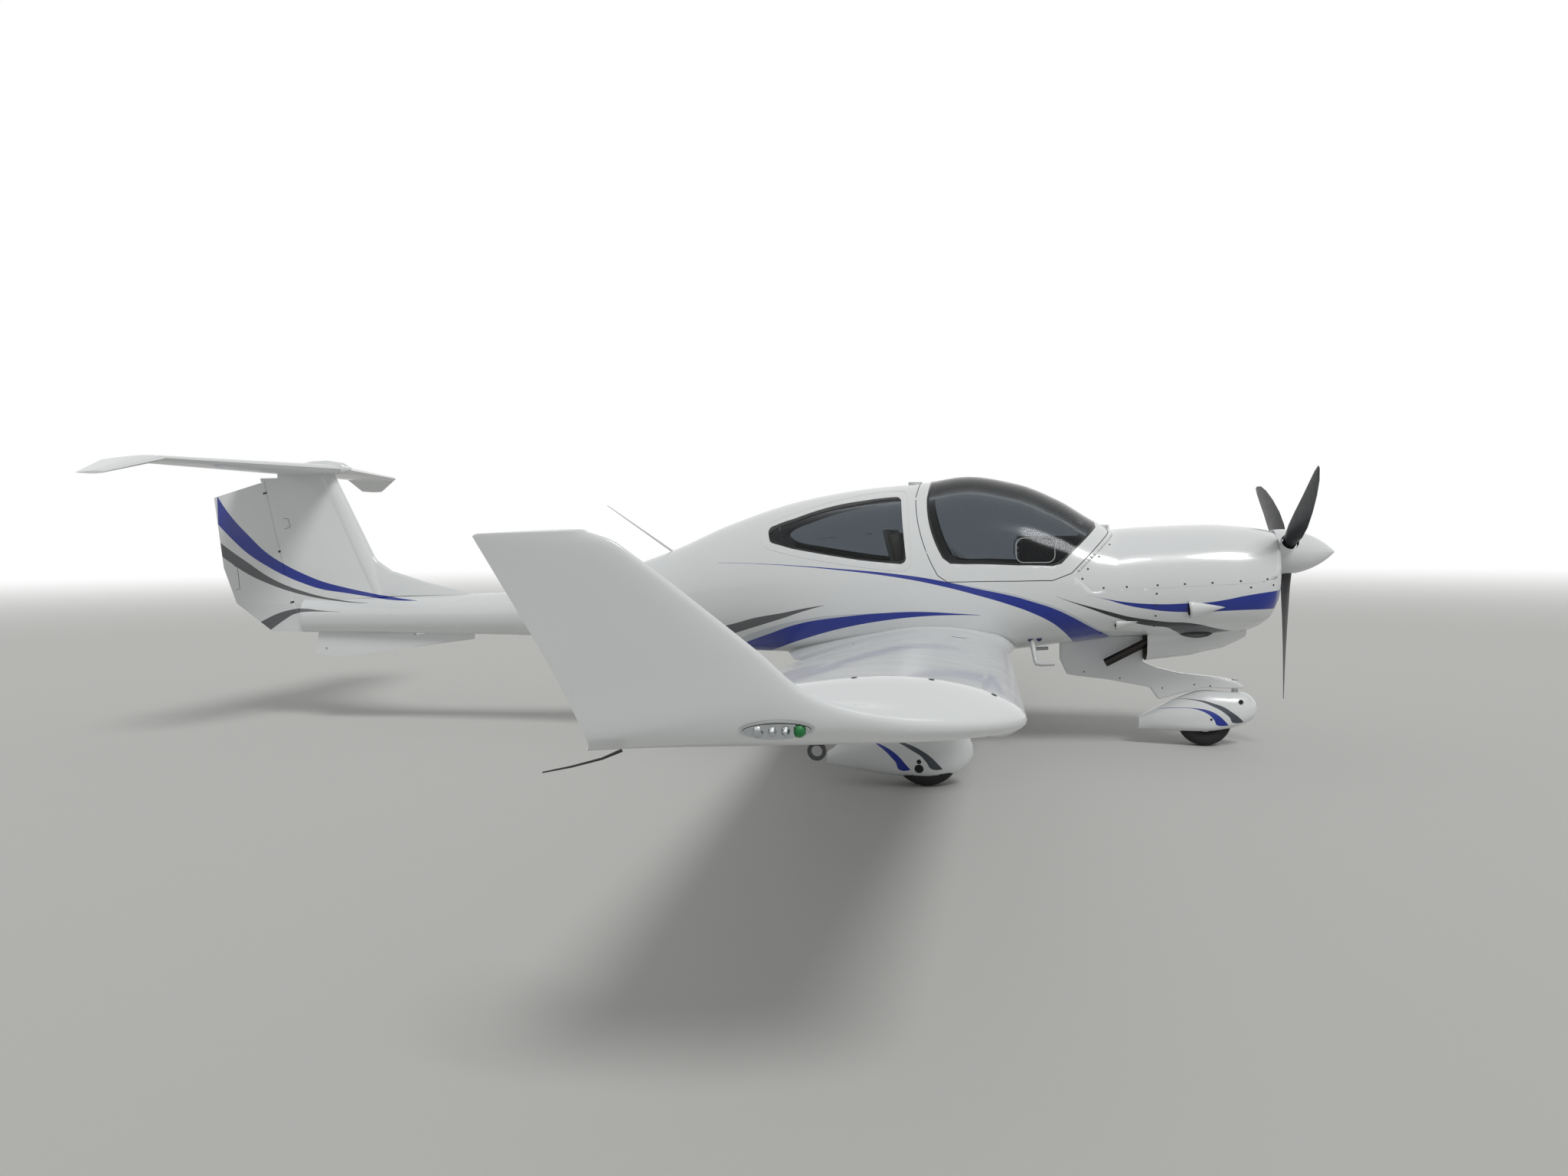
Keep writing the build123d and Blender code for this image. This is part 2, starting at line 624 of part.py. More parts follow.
# Tie-down ring: an eye under each wing, with its shank in the tip
ring_station = 2526.0
ring_y = 5300.0
ring_height = 905.0
ring_radius = 22.0
ring_hole_radius = 13.0
ring_thickness = 8.0
ring_centre = place(ring_station, ring_y, ring_height)
ring = rod(ring_centre - LEFT * (ring_thickness / 2), ring_centre + LEFT * (ring_thickness / 2), ring_radius)
ring = ring + rod(ring_centre + UP * (ring_radius - 3), ring_centre + UP * 120, 5.0)
ring = ring - rod(ring_centre - LEFT * 20, ring_centre + LEFT * 20, ring_hole_radius)
ring = ring - wing
ring = min(ring.solids(), key=lambda solid: solid.center().Z)

save("wing_left", wing)
save("wing_right", mirrored(wing))
save("winglet_left", winglet)
save("winglet_right", mirrored(winglet))
save("flap_left", flap)
save("flap_right", mirrored(flap))
save("aileron_left", aileron)
save("aileron_right", mirrored(aileron))
save("tie_down_rings", ring, mirrored(ring))

# Tailplane on top of the fin, with drooped tips and one elevator across it.
# Columns: y, leading edge station, trailing edge station, height
tail_rows = [
    (-tail_half_span, 7590.0, tail_te_station - 5, tail_height - 95),
    (-tail_crease_y, 7330.0, tail_te_station, tail_height),
    (0.0, 6950.0, tail_te_station, tail_height),
    (tail_crease_y, 7330.0, tail_te_station, tail_height),
    (tail_half_span, 7590.0, tail_te_station - 5, tail_height - 95),
]
tail_thickness = 0.095
elevator_half_span = tail_crease_y - 20
tailplane_whole = Solid.make_loft([
    aerofoil_wire(place(le, y, z), place(te, y, z), UP, tail_thickness) for y, le, te, z in tail_rows
], True)


def elevator_slab(growth):
    reach = elevator_half_span + growth
    return block(6800.0, 8200.0, -reach, reach, tail_height - 200, tail_height + 200)


elevator_aft = block(tail_hinge_station, 8200.0, -wide * 3, wide * 3, tail_height - 300, tail_height + 300)
elevator_radius = 24.5
tailplane, elevator = hinged(
    tailplane_whole,
    place(tail_hinge_station, -elevator_half_span, tail_height),
    place(tail_hinge_station, elevator_half_span, tail_height),
    (elevator_radius, elevator_radius), elevator_aft, elevator_slab, (0.1, 0.36, 0.64, 0.9))
tail_hollow = Solid.make_loft([
    aerofoil_wire(place(le + 30, y, z), place(te, y, z), UP, tail_thickness - 0.022) for y, le, te, z in tail_rows
], True)
for side in (1, -1):
    tailplane = tailplane - (tail_hollow & block(6900.0, tail_hinge_station - 60, side * 70,
                                                 side * (tail_crease_y - 30), 1800.0, high))
save("tailplane", tailplane)
save("elevator", elevator)

# Fin and rudder: one tapered surface split at the raked hinge line.
# Columns: height, leading edge station, trailing edge station
fin_rows = [
    (700.0, 6431.0, 7590.0),
    (913.0, 6540.0, 7890.0),
    (1184.0, 6677.0, 7992.0),
    (1733.0, 6956.0, length),
    (1960.0, 7071.0, length),
]
fin_thickness = 0.085
fin_whole = Solid.make_loft([
    aerofoil_wire(place(le, 0, z), place(te, 0, z), LEFT, fin_thickness) for z, le, te in fin_rows
], True)
rudder_low = place(rudder_axis_low[0], 0, rudder_axis_low[1])
rudder_high = place(rudder_axis_high[0], 0, rudder_axis_high[1])
rudder_axis = (rudder_high - rudder_low).normalized()
rudder_top_height = 1836.0
rudder_down = rudder_low - rudder_axis * 60
rudder_up = rudder_high + rudder_axis * ((rudder_top_height - rudder_axis_high[1]) / rudder_axis.Z)


def behind_line(start, end, y_reach, depth):
    """The space aft of a raked line in the middle plane."""
    far = Vector(-depth, 0, 0)
    corners = [start, end, end + far, start + far]
    lifted = [corner - LEFT * y_reach for corner in corners]
    face = Face(Wire([arc_or_line(run) for run in closed(lifted)]))
    return Solid.extrude(face, LEFT * (2 * y_reach))


def rudder_slab(growth):
    """From below the rudder to a plane square to its hinge line."""
    across = Plane(origin=rudder_down - rudder_axis * 100, z_dir=rudder_axis)
    height = (rudder_up - rudder_down).length + 100 + growth
    return Solid.extrude(Face.make_rect(2400, 2400, across), rudder_axis * height)


rudder_aft = behind_line(rudder_down - rudder_axis * 100, rudder_up + rudder_axis * 300, 200, 900)
fin, rudder = hinged(fin_whole, rudder_down, rudder_up, (42.0, 37.0), rudder_aft, rudder_slab,
                     (0.22, 0.55, 0.93))
rudder_top_cut = side_prism(closed([(7560.0, rudder_top_height + 4), (7828.0, 1818.0), (length, 1735.0),
                                    (length + 200, 1660.0), (length + 200, high), (7560.0, high)]), -200, 200)
rudder = rudder - rudder_top_cut
rudder = max(rudder.solids(), key=lambda solid: solid.volume)
fin_aft_cut = behind_line(rudder_down - rudder_axis * 100 + AFT * 14, rudder_up + rudder_axis * 300 + AFT * 14,
                          200, 900)
# Columns as in the body's table
dorsal_sections = [
    (5960.0, 1000.0, 900.0, 10.0, 940.0, 2.0, 2.0),
    (6300.0, 1076.0, 900.0, 26.0, 940.0, 1.9, 2.0),
    (6580.0, 1160.0, 900.0, 38.0, 940.0, 1.8, 2.0),
    (6700.0, 1240.0, 900.0, 44.0, 940.0, 1.7, 2.0),
    (6790.0, 1370.0, 900.0, 47.0, 940.0, 1.6, 2.0),
]
under_elevator = block(tail_hinge_station - 60, 7800.0, -200, 200, 1866.0, high)
fin = (fin - fin_aft_cut) + hull(dorsal_sections)
fin = fin - body - tailplane_whole - under_elevator
fin = max(fin.solids(), key=lambda solid: solid.volume)
fin_hollow = Solid.make_loft([
    aerofoil_wire(place(le + 40, 0, z), place(te, 0, z), LEFT, fin_thickness - 0.016) for z, le, te in fin_rows
], True)
fin_hollow = fin_hollow & block(6700.0, 7500.0, -100, 100, 1010.0, 1850.0)
fin = fin - (fin_hollow - behind_line(rudder_down + Vector(90, 0, 0), rudder_up + Vector(90, 0, 0), 200, 900))
save("vertical_fin", fin)
save("rudder", rudder)

# Fairing on top of the tailplane over the fin. Columns as in the body's table
fairing_sections = [
    (6900.0, 1936.0, 1914.0, 8.0, 1925.0, 2.0, 2.0),
    (6960.0, 1972.0, 1890.0, 34.0, 1925.0, 2.0, 2.0),
    (7090.0, 1994.0, 1880.0, 48.0, 1925.0, 2.0, 2.0),
    (7220.0, 1990.0, 1885.0, 44.0, 1925.0, 2.0, 2.0),
    (7340.0, 1966.0, 1900.0, 20.0, 1925.0, 2.0, 2.0),
]
fairing = hull(fairing_sections) - tailplane_whole - fin
save("tailplane_fairing", fairing)

# Ventral fin with the tail tie-down hole
tail_hole = (7130.0, 572.0)
tail_hole_radius = 11.0
ventral_half = 14.0
ventral = side_prism(closed([(6425.0, 590.0), (7022.0, 512.0), (7216.0, 536.0), (7189.0, 720.0),
                             (6400.0, 720.0)]), -ventral_half, ventral_half) - body
ventral = ventral - rod(place(tail_hole[0], -50, tail_hole[1]), place(tail_hole[0], 50, tail_hole[1]),
                        tail_hole_radius)
save("ventral_fin", ventral)

save("fuselage_shell", fuselage)

# Main gear: a tapered spring blade to each wheel, ending in its axle
leg_top = place(2620.0, 330.0, 640.0)
leg_foot = place(main_wheel_station, wheel_track_half - 118.0, main_tyre_radius + 12)
leg_foot_width = 76.0
leg_top_width = 120.0
leg_foot_thickness = 22.0
leg_top_thickness = 30.0


def blade_spring_wire(centre, along, width, thickness):
    """A flat bar's section with rounded edges, square to its run."""
    across = (AFT - along * AFT.dot(along)).normalized()
    up = along.cross(across).normalized()
    straight = width / 2 - thickness / 2
    a, b = across * straight, up * (thickness / 2)
    end = across * (width / 2)
    return Wire([
        arc_or_line([centre - a + b, centre + a + b]),
        arc_or_line([centre + a + b, centre + end, centre + a - b]),
        arc_or_line([centre + a - b, centre - a - b]),
        arc_or_line([centre - a - b, centre - end, centre - a + b]),
    ])


leg_run = (leg_foot - leg_top).normalized()
leg = Solid.make_loft([
    blade_spring_wire(leg_top, leg_run, leg_top_width, leg_top_thickness),
    blade_spring_wire(leg_foot, leg_run, leg_foot_width, leg_foot_thickness),
], True) - body
leg = max(leg.solids(), key=lambda solid: solid.volume)
fillet = fillet - Solid.make_loft([
    blade_spring_wire(leg_top, leg_run, leg_top_width + 2, leg_top_thickness + 2),
    blade_spring_wire(leg_foot, leg_run, leg_foot_width + 2, leg_foot_thickness + 2),
], True)
fillet = max(fillet.solids(), key=lambda solid: solid.volume)
save("wing_fillets", fillet, mirrored(fillet))
main_spat_half = 118.0
axle_boss = 12.0              # thickness of the boss inside each spat that the axle reaches
axle_centre = place(main_wheel_station, wheel_track_half, main_tyre_radius)
axle_in = axle_centre - LEFT * 124
axle_out = axle_centre + LEFT * (main_spat_half - axle_boss - seat_gap)
leg = leg + rod(axle_in, axle_out, axle_radius)
leg = leg + rod(axle_in, axle_in + LEFT * 14, 40.0)
save("main_gear_legs", leg, mirrored(leg))

# Spats: hollow teardrops, open below for the tyre. Columns as in the body's table
main_spat_sections = [
    (2258.0, 226.0, 170.0, 14.0, 198.0, 2.0, 2.0),
    (2290.0, 306.0, 118.0, 58.0, 200.0, 2.1, 2.2),
    (2380.0, 396.0, 76.0, 100.0, 200.0, 2.2, 2.5),
    (main_wheel_station, 448.0, 64.0, main_spat_half, main_tyre_radius, 2.3, 2.8),
    (2700.0, 412.0, 62.0, 112.0, 198.0, 2.2, 2.8),
    (2900.0, 300.0, 78.0, 72.0, 180.0, 2.2, 2.4),
    (3075.0, 170.0, 104.0, 18.0, 140.0, 2.2, 2.2),
]
nose_spat_half = 112.0
nose_spat_sections = [
    (468.0, 286.0, 204.0, 20.0, 245.0, 2.0, 2.0),
    (496.0, 326.0, 176.0, 52.0, 238.0, 2.1, 2.1),
    (545.0, 355.0, 150.0, 84.0, 225.0, 2.2, 2.3),
    (640.0, 360.0, 124.0, 106.0, 200.0, 2.3, 2.6),
    (nose_wheel_station, 369.0, 106.0, nose_spat_half, nose_tyre_radius, 2.3, 2.8),
    (930.0, 330.0, 100.0, 98.0, 174.0, 2.3, 2.8),
    (1080.0, 254.0, 100.0, 64.0, 168.0, 2.2, 2.6),
    (1205.0, 182.0, 100.0, 22.0, 142.0, 2.2, 2.2),
]


def spat(sections, y, wheel_station, tyre_radius, tyre_width, mouth_height):
    """A hollow wheel fairing with a mouth round the tyre."""
    hollow = hull(sections, y=y) - hull(sections[1:-1], inset=skin_wall, y=y)
    half = tyre_width / 2 + 14
    centre = place(wheel_station, y, tyre_radius)
    mouth = rod(centre - LEFT * half, centre + LEFT * half, tyre_radius + 20)
    hollow = hollow - (mouth & block(wheel_station - wide, wheel_station + wide, y - wide, y + wide, -wide,
                                     mouth_height))
    widest = max(row[3] for row in sections)
    for side in (1, -1):
        hollow = hollow + rod(centre + LEFT * (side * (widest - axle_boss)), centre + LEFT * (side * (widest - 1)),
                              26.0)
    return hollow


main_spat = spat(main_spat_sections, wheel_track_half, main_wheel_station, main_tyre_radius,
                 main_tyre_width, 150.0)
leg_space = Solid.make_loft([
    blade_spring_wire(leg_top, leg_run, leg_top_width + 8, leg_top_thickness + 8),
    blade_spring_wire(leg_foot + leg_run * 30, leg_run, leg_foot_width + 8, leg_foot_thickness + 8),
], True)
main_spat = main_spat - leg_space - rod(axle_in - LEFT * 20, axle_in + LEFT * 20, 43.0)
save("main_spats", main_spat, mirrored(main_spat))


def tyre(centre, radius, width, rim_radius):
    half = width / 2
    shoulder = (half * 0.72, radius * 0.94)
    bead = (half * 0.74, rim_radius)
    bulge = (half, (radius + rim_radius) / 2)
    left = [(-p, r) for p, r in (bead, bulge, shoulder)]
    runs = [left, (left[-1], (0.0, radius), shoulder), (shoulder, bulge, bead), (bead, left[0])]
    return turned(runs, centre)


def rim(centre, width, rim_radius):
    """A cast wheel: hub, dished web and flanges."""
    half = width / 2
    hub_half = half * 0.62
    bore = axle_radius + seat_gap
    hub_r = bore + 18
    wall = 8.0
    corners = [(-hub_half, bore), (hub_half, bore), (hub_half, hub_r), (wall, hub_r + 6),
               (wall, rim_radius - 16), (half * 0.74, rim_radius - 9), (half * 0.74, rim_radius),
               (-half * 0.74, rim_radius), (-half * 0.74, rim_radius - 9), (-wall, rim_radius - 16),
               (-wall, hub_r + 6), (-hub_half, hub_r)]
    return turned(closed(corners), centre)


main_tyre = tyre(axle_centre, main_tyre_radius, main_tyre_width, main_rim_radius)
main_rim = rim(axle_centre, main_tyre_width, main_rim_radius)
save("main_tyre_left", main_tyre)
save("main_tyre_right", mirrored(main_tyre))
save("main_rim_left", main_rim)
save("main_rim_right", mirrored(main_rim))
nose_centre = place(nose_wheel_station, 0, nose_tyre_radius)
save("nose_tyre", tyre(nose_centre, nose_tyre_radius, nose_tyre_width, nose_rim_radius))
save("nose_rim", rim(nose_centre, nose_tyre_width, nose_rim_radius))

# Nose gear: a sprung tube under a deep fairing, a castoring fork and its spat
leg_radius = 18.0
sleeve_radius = 26.0
sleeve_low = 380.0
sleeve_high = 434.0
spindle_radius = 12.0
nose_head = place(castor_station, 0, 412.0)
nose_knee = place(1560.0, 0, 530.0)
nose_root = place(1620.0, 0, 700.0)
nose_leg = rod(nose_head, nose_knee, leg_radius) + Pos(nose_knee) * Sphere(leg_radius)
nose_leg = nose_leg + (rod(nose_knee, nose_root, leg_radius) - body)
nose_leg = nose_leg + rod(place(castor_station, 0, sleeve_low), place(castor_station, 0, sleeve_high),
                          sleeve_radius)
nose_leg = nose_leg - rod(place(castor_station, 0, 300), place(castor_station, 0, 500),
                          spindle_radius + seat_gap)
nose_leg = max(nose_leg.solids(), key=lambda solid: solid.volume)
save("nose_leg", nose_leg)

fairing_half = 44.0
fairing_corners = [(1719.0, 562.0), (1673.0, 462.0), (1604.0, 450.0), (1410.0, 430.0), (1139.0, 382.0),
                   (1083.0, 302.0), (971.0, 336.0), (806.0, 382.0), (560.0, 382.0), (548.0, 394.0),
                   (587.0, 430.0), (696.0, 452.0), (950.0, 478.0), (1090.0, 510.0),
                   (lower_cowl_end + 6, 548.0), (lower_cowl_end + 6, 780.0), (1719.0, 780.0)]
nose_fairing = side_prism(closed(fairing_corners), -fairing_half, fairing_half) - body
leg_room = rod(nose_head, nose_knee, leg_radius + seat_gap) + rod(nose_knee, nose_root, leg_radius + seat_gap)
leg_room = leg_room + Pos(nose_knee) * Sphere(leg_radius + seat_gap)
head_room = rod(place(castor_station, 0, 300), place(castor_station, 0, high), sleeve_radius + seat_gap)
nose_fairing = nose_fairing - leg_room - head_room
nose_fairing = max(nose_fairing.solids(), key=lambda solid: solid.volume)
save("nose_leg_fairing", nose_fairing)

crown_top = 326.0
crown_low = 292.0
fork_inner = nose_tyre_width / 2 + 7
fork_outer = fork_inner + 14
fork = block(castor_station - 26, castor_station + 26, -fork_outer, fork_outer, crown_low, crown_top)
for side in (1, -1):
    arm_runs = closed([(castor_station - 26, crown_low + 2), (castor_station + 26, crown_top),
                       (nose_wheel_station + 20, nose_tyre_radius + 14),
                       (nose_wheel_station + 10, nose_tyre_radius - 22),
                       (nose_wheel_station - 22, nose_tyre_radius - 18)])
    fork = fork + side_prism(arm_runs, side * fork_inner, side * fork_outer)
fork = fork & hull(nose_spat_sections[1:-1], inset=skin_wall + seat_gap)
fork = fork + rod(place(castor_station, 0, crown_low), place(castor_station, 0, sleeve_low - seat_gap), 20.0)
fork = fork + rod(place(castor_station, 0, crown_low), place(castor_station, 0, sleeve_high + 1),
                  spindle_radius)
fork = fork + rod(place(castor_station, 0, sleeve_high + seat_gap), place(castor_station, 0, sleeve_high + 9),
                  18.0)
nose_axle_half = nose_spat_half - axle_boss - seat_gap
fork = fork + rod(nose_centre - LEFT * nose_axle_half, nose_centre + LEFT * nose_axle_half, axle_radius)
save("nose_fork", fork)
nose_spat = spat(nose_spat_sections, 0, nose_wheel_station, nose_tyre_radius, nose_tyre_width, 136.0)
nose_spat = nose_spat - rod(place(castor_station, 0, crown_top), place(castor_station, 0, 420), 24.0)
save("nose_spat", nose_spat)

# Cabin: floor with spar tunnel, rear seat base and console, the panel and the sticks
room = hull(body_sections, inset=shell_wall + seat_gap)
seat_room = hull(body_sections, inset=shell_wall + 28)
cabin_front = station_of_firewall + bulkhead_thickness
floor_height = 745.0
floor_thickness = 12.0
floor_top = floor_height + floor_thickness
front_pan = 880.0
rear_pan = 960.0
floor = block(cabin_front + seat_gap, baggage_bulkhead - seat_gap, -wide, wide, floor_height, floor_top)
seat_base_wall = 12.0
for station_from, station_to, base_top in ((2380.0, 2690.0, front_pan - 40), (3080.0, 3540.0, rear_pan)):
    floor = floor + block(station_from, station_to, -wide, wide, floor_top - 1, base_top)
    floor = floor - block(station_from + seat_base_wall, station_to - seat_base_wall, -wide + seat_base_wall,
                          wide - seat_base_wall, floor_top, base_top - seat_base_wall)
console_half = 50.0
floor = (floor & room) + block(1990.0, 2381.0, -console_half, console_half, floor_top - 1, 960.0)
save("cabin_floor", floor)
panel = block(1950.0, 1974.0, -470.0, 470.0, 1010.0, 1385.0)
panel = panel + side_prism(closed([(1560.0, 1385.0), (1990.0, 1385.0), (1995.0, 1372.0), (1560.0, 1372.0)]),
                           -470.0, 470.0)
panel = panel + block(1950.0, 1974.0, -60, 60, floor_top + seat_gap, 1012.0)
panel = panel & hull(body_sections, inset=shell_wall + 12)
save("instrument_panel", panel)
stick_half = 285.0
sticks = []
for side in (1, -1):
    foot = place(2180.0, side * stick_half, floor_top + seat_gap + 4)
    elbow = place(2120.0, side * stick_half, 960.0)
    head = place(2135.0, side * stick_half, 1085.0)
    sticks.append(rod(foot - UP * 4, foot + UP * 4, 24.0) + rod(foot, elbow, 9.0) + Pos(elbow) * Sphere(9.0)
                  + rod(elbow, head, 15.0))
save("control_sticks", *sticks)

# Seats: moulded shells with loose cushions in front, a bench with cushions behind
seat_y = 285.0
seat_half = 228.0
cushion_thickness = 80.0
shell_corners = [(2200.0, 905.0), (2200.0, 885.0), (2640.0, 842.0), (2700.0, 850.0), (2860.0, 1430.0),
                 (2836.0, 1436.0), (2680.0, 868.0), (2640.0, 864.0)]
pan_corners = [(2204.0, 904.9), (2638.0, 864.5), (2628.0, 866.0 + cushion_thickness),
               (2210.0, 906.0 + cushion_thickness)]
back_corners = [(2684.0, 880.0), (2832.0, 1420.0), (2832.0 - cushion_thickness, 1440.0),
                (2684.0 - cushion_thickness * 0.55, 960.0)]
seat_shells = []
pans = []
backs = []
for side in (1, -1):
    y_in = side * (seat_y - seat_half)
    y_out = side * (seat_y + seat_half)
    seat_shell = side_prism(closed(shell_corners), y_in, y_out)
    seat_shell = seat_shell + block(2400.0, 2660.0, side * (seat_y - 150), side * (seat_y + 150),
                                    front_pan - 40 + seat_gap, 860.0)
    seat_shells.append(seat_shell & seat_room)
    pans.append(side_prism(closed(pan_corners), y_in, y_out) & seat_room)
    backs.append((side_prism(closed(back_corners), y_in + side * 10, y_out - side * 10) & seat_room)
                 - seat_shell)
save("front_seat_shells", *seat_shells)
save("front_seat_cushions", *[pan - seat_shells[0] - seat_shells[1] for pan in pans])
save("front_back_cushions", *backs)
rear_pan_corners = [(3085.0, rear_pan + seat_gap), (3540.0, rear_pan + seat_gap),
                    (3530.0, rear_pan + cushion_thickness), (3095.0, rear_pan + cushion_thickness + 8)]
rear_wall_foot = 3566.0
rear_wall_head = 3700.0
rear_wall_top = 1440.0
rear_wall_corners = [(rear_wall_foot, floor_top), (rear_wall_foot + 14, floor_top),
                     (rear_wall_head, rear_wall_top), (rear_wall_head - 14, rear_wall_top)]
rear_wall_lean = (rear_wall_head - 14 - rear_wall_foot) / (rear_wall_top - floor_top)
rear_back_low = 1052.0
rear_back_foot = rear_wall_foot + (rear_back_low - floor_top) * rear_wall_lean - seat_gap
rear_back_head = rear_wall_head - 14 - seat_gap
rear_back_corners = [(rear_back_foot - 86, rear_back_low), (rear_back_foot, rear_back_low),
                     (rear_back_head, rear_wall_top), (rear_back_head - 66, rear_wall_top)]
rear_pans = []
rear_backs = []
for side in (1, -1):
    rear_pans.append(side_prism(closed(rear_pan_corners), side * 6, side * 440) & seat_room)
    rear_backs.append(side_prism(closed(rear_back_corners), side * 6, side * 420) & seat_room)
save("rear_seat_cushions", *rear_pans)
save("rear_back_cushions", *rear_backs)
save("rear_seat_back", side_prism(closed(rear_wall_corners), -wide, wide) & room)

# Boarding steps: a bent tube each side ahead of the wing
step_radius = 9.0
step_root = place(1912.0, 400.0, 735.0)
step_knee = place(1886.0, 500.0, 574.0)
step_toe = place(1770.0, 505.0, 580.0)
step = rod(step_root, step_knee, step_radius) + Pos(step_knee) * Sphere(step_radius)
step = step + rod(step_knee, step_toe, step_radius) - body
step = min(step.solids(), key=lambda solid: solid.center().Z)
save("boarding_steps", step, mirrored(step))

# Aerials: a raked whip on the back of the cabin and a low puck on the roof
whip_foot = place(4405.0, 0, 1296.0)
whip_tip = place(4887.0, 0, 1627.0)
whip = rod(whip_foot, whip_tip, 8.0, 2.5) - body
puck = rod(place(2680.0, 0, 1700.0), place(2680.0, 0, 1758.0), 48.0) - body
puck = max(puck.solids(), key=lambda solid: solid.center().Z)
save("aerials", max(whip.solids(), key=lambda solid: solid.volume), puck)
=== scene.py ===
import json
import math

import bmesh
import bpy
import numpy as np
from mathutils import Matrix, Vector


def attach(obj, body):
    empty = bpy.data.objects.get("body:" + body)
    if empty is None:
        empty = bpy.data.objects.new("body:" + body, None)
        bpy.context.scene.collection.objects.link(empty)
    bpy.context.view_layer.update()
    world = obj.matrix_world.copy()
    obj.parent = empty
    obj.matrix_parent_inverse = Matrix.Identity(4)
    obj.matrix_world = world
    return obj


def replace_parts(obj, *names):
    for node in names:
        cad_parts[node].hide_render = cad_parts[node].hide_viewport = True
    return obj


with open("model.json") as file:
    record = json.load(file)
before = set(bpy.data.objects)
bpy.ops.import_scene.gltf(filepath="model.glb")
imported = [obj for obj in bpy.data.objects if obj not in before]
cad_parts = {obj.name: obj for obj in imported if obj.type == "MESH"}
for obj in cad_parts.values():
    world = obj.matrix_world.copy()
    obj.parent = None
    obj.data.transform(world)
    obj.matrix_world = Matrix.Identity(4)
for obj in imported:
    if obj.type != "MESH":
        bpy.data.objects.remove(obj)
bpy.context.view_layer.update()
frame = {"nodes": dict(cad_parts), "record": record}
nodes = frame["nodes"]

# Fuselage shell. One moulded sandwich of glass and carbon cloth, finished in white
# gelcoat and clear lacquer, with three painted sweeps along each side. The moulds are
# fair from end to end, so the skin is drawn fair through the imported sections.

# A station is a distance aft of the spinner's tip, which stands half the length ahead.
half_length = 4.030
# The wall of the fuselage shell, and that of the lids, panes and cowlings
sandwich_wall = 0.012
thin_wall = 0.005
body_of = {node: body for body, members in frame["record"]["behaviour"]["bodies"].items()
           for node in members}
# Columns: station, top, bottom, half width, waist height, upper fullness, lower fullness
body_rows = [
    (0.395, 1.403, 0.905, 0.330, 1.160, 2.3, 2.3),
    (0.440, 1.417, 0.830, 0.405, 1.120, 2.35, 2.35),
    (0.560, 1.436, 0.768, 0.458, 1.090, 2.4, 2.45),
    (0.800, 1.452, 0.742, 0.492, 1.070, 2.45, 2.5),
    (1.250, 1.437, 0.730, 0.520, 1.060, 2.45, 2.6),
    (1.400, 1.424, 0.722, 0.536, 1.062, 2.4, 2.6),
    (1.520, 1.492, 0.706, 0.550, 1.065, 2.2, 2.6),
    (1.740, 1.628, 0.672, 0.574, 1.075, 2.15, 2.6),
    (2.000, 1.735, 0.635, 0.594, 1.085, 2.15, 2.6),
    (2.330, 1.790, 0.602, 0.604, 1.090, 2.15, 2.55),
    (2.640, 1.748, 0.592, 0.602, 1.090, 2.15, 2.5),
    (3.000, 1.718, 0.590, 0.585, 1.088, 2.12, 2.4),
    (3.450, 1.644, 0.592, 0.530, 1.078, 2.1, 2.3),
    (3.950, 1.490, 0.604, 0.422, 1.040, 2.05, 2.2),
    (4.400, 1.300, 0.625, 0.312, 0.975, 2.0, 2.1),
    (4.900, 1.140, 0.655, 0.228, 0.905, 2.0, 2.05),
    (5.700, 1.000, 0.690, 0.165, 0.850, 2.0, 2.0),
    (7.285, 0.958, 0.697, 0.105, 0.832, 2.0, 2.0),
]
# The windscreen's foot, where the top line breaks at a corner
screen_foot = 1.400


def linear(colour):
    """An sRGB hex colour as the linear colour that a shader takes."""
    parts = [int(colour[i:i + 2], 16) / 255 for i in (1, 3, 5)]
    return [p / 12.92 if p <= 0.04045 else ((p + 0.055) / 1.055) ** 2.4 for p in parts] + [1.0]


def add(tree, kind, inputs=None, **settings):
    """A shader node with its settings, values and links; a link is another node's output."""
    node = tree.nodes.new("ShaderNode" + kind)
    for name, value in settings.items():
        setattr(node, name, value)
    for name, value in (inputs or {}).items():
        if isinstance(value, bpy.types.NodeSocket):
            tree.links.new(value, node.inputs[name])
        else:
            node.inputs[name].default_value = value
    return node


def blank(name):
    """A new material with a shader and an output, and its node tree."""
    material = bpy.data.materials.new(name)
    material.use_nodes = True
    tree = material.node_tree
    tree.nodes.clear()
    shader = add(tree, "BsdfPrincipled")
    add(tree, "OutputMaterial", {"Surface": shader.outputs[0]})
    return material, tree, shader


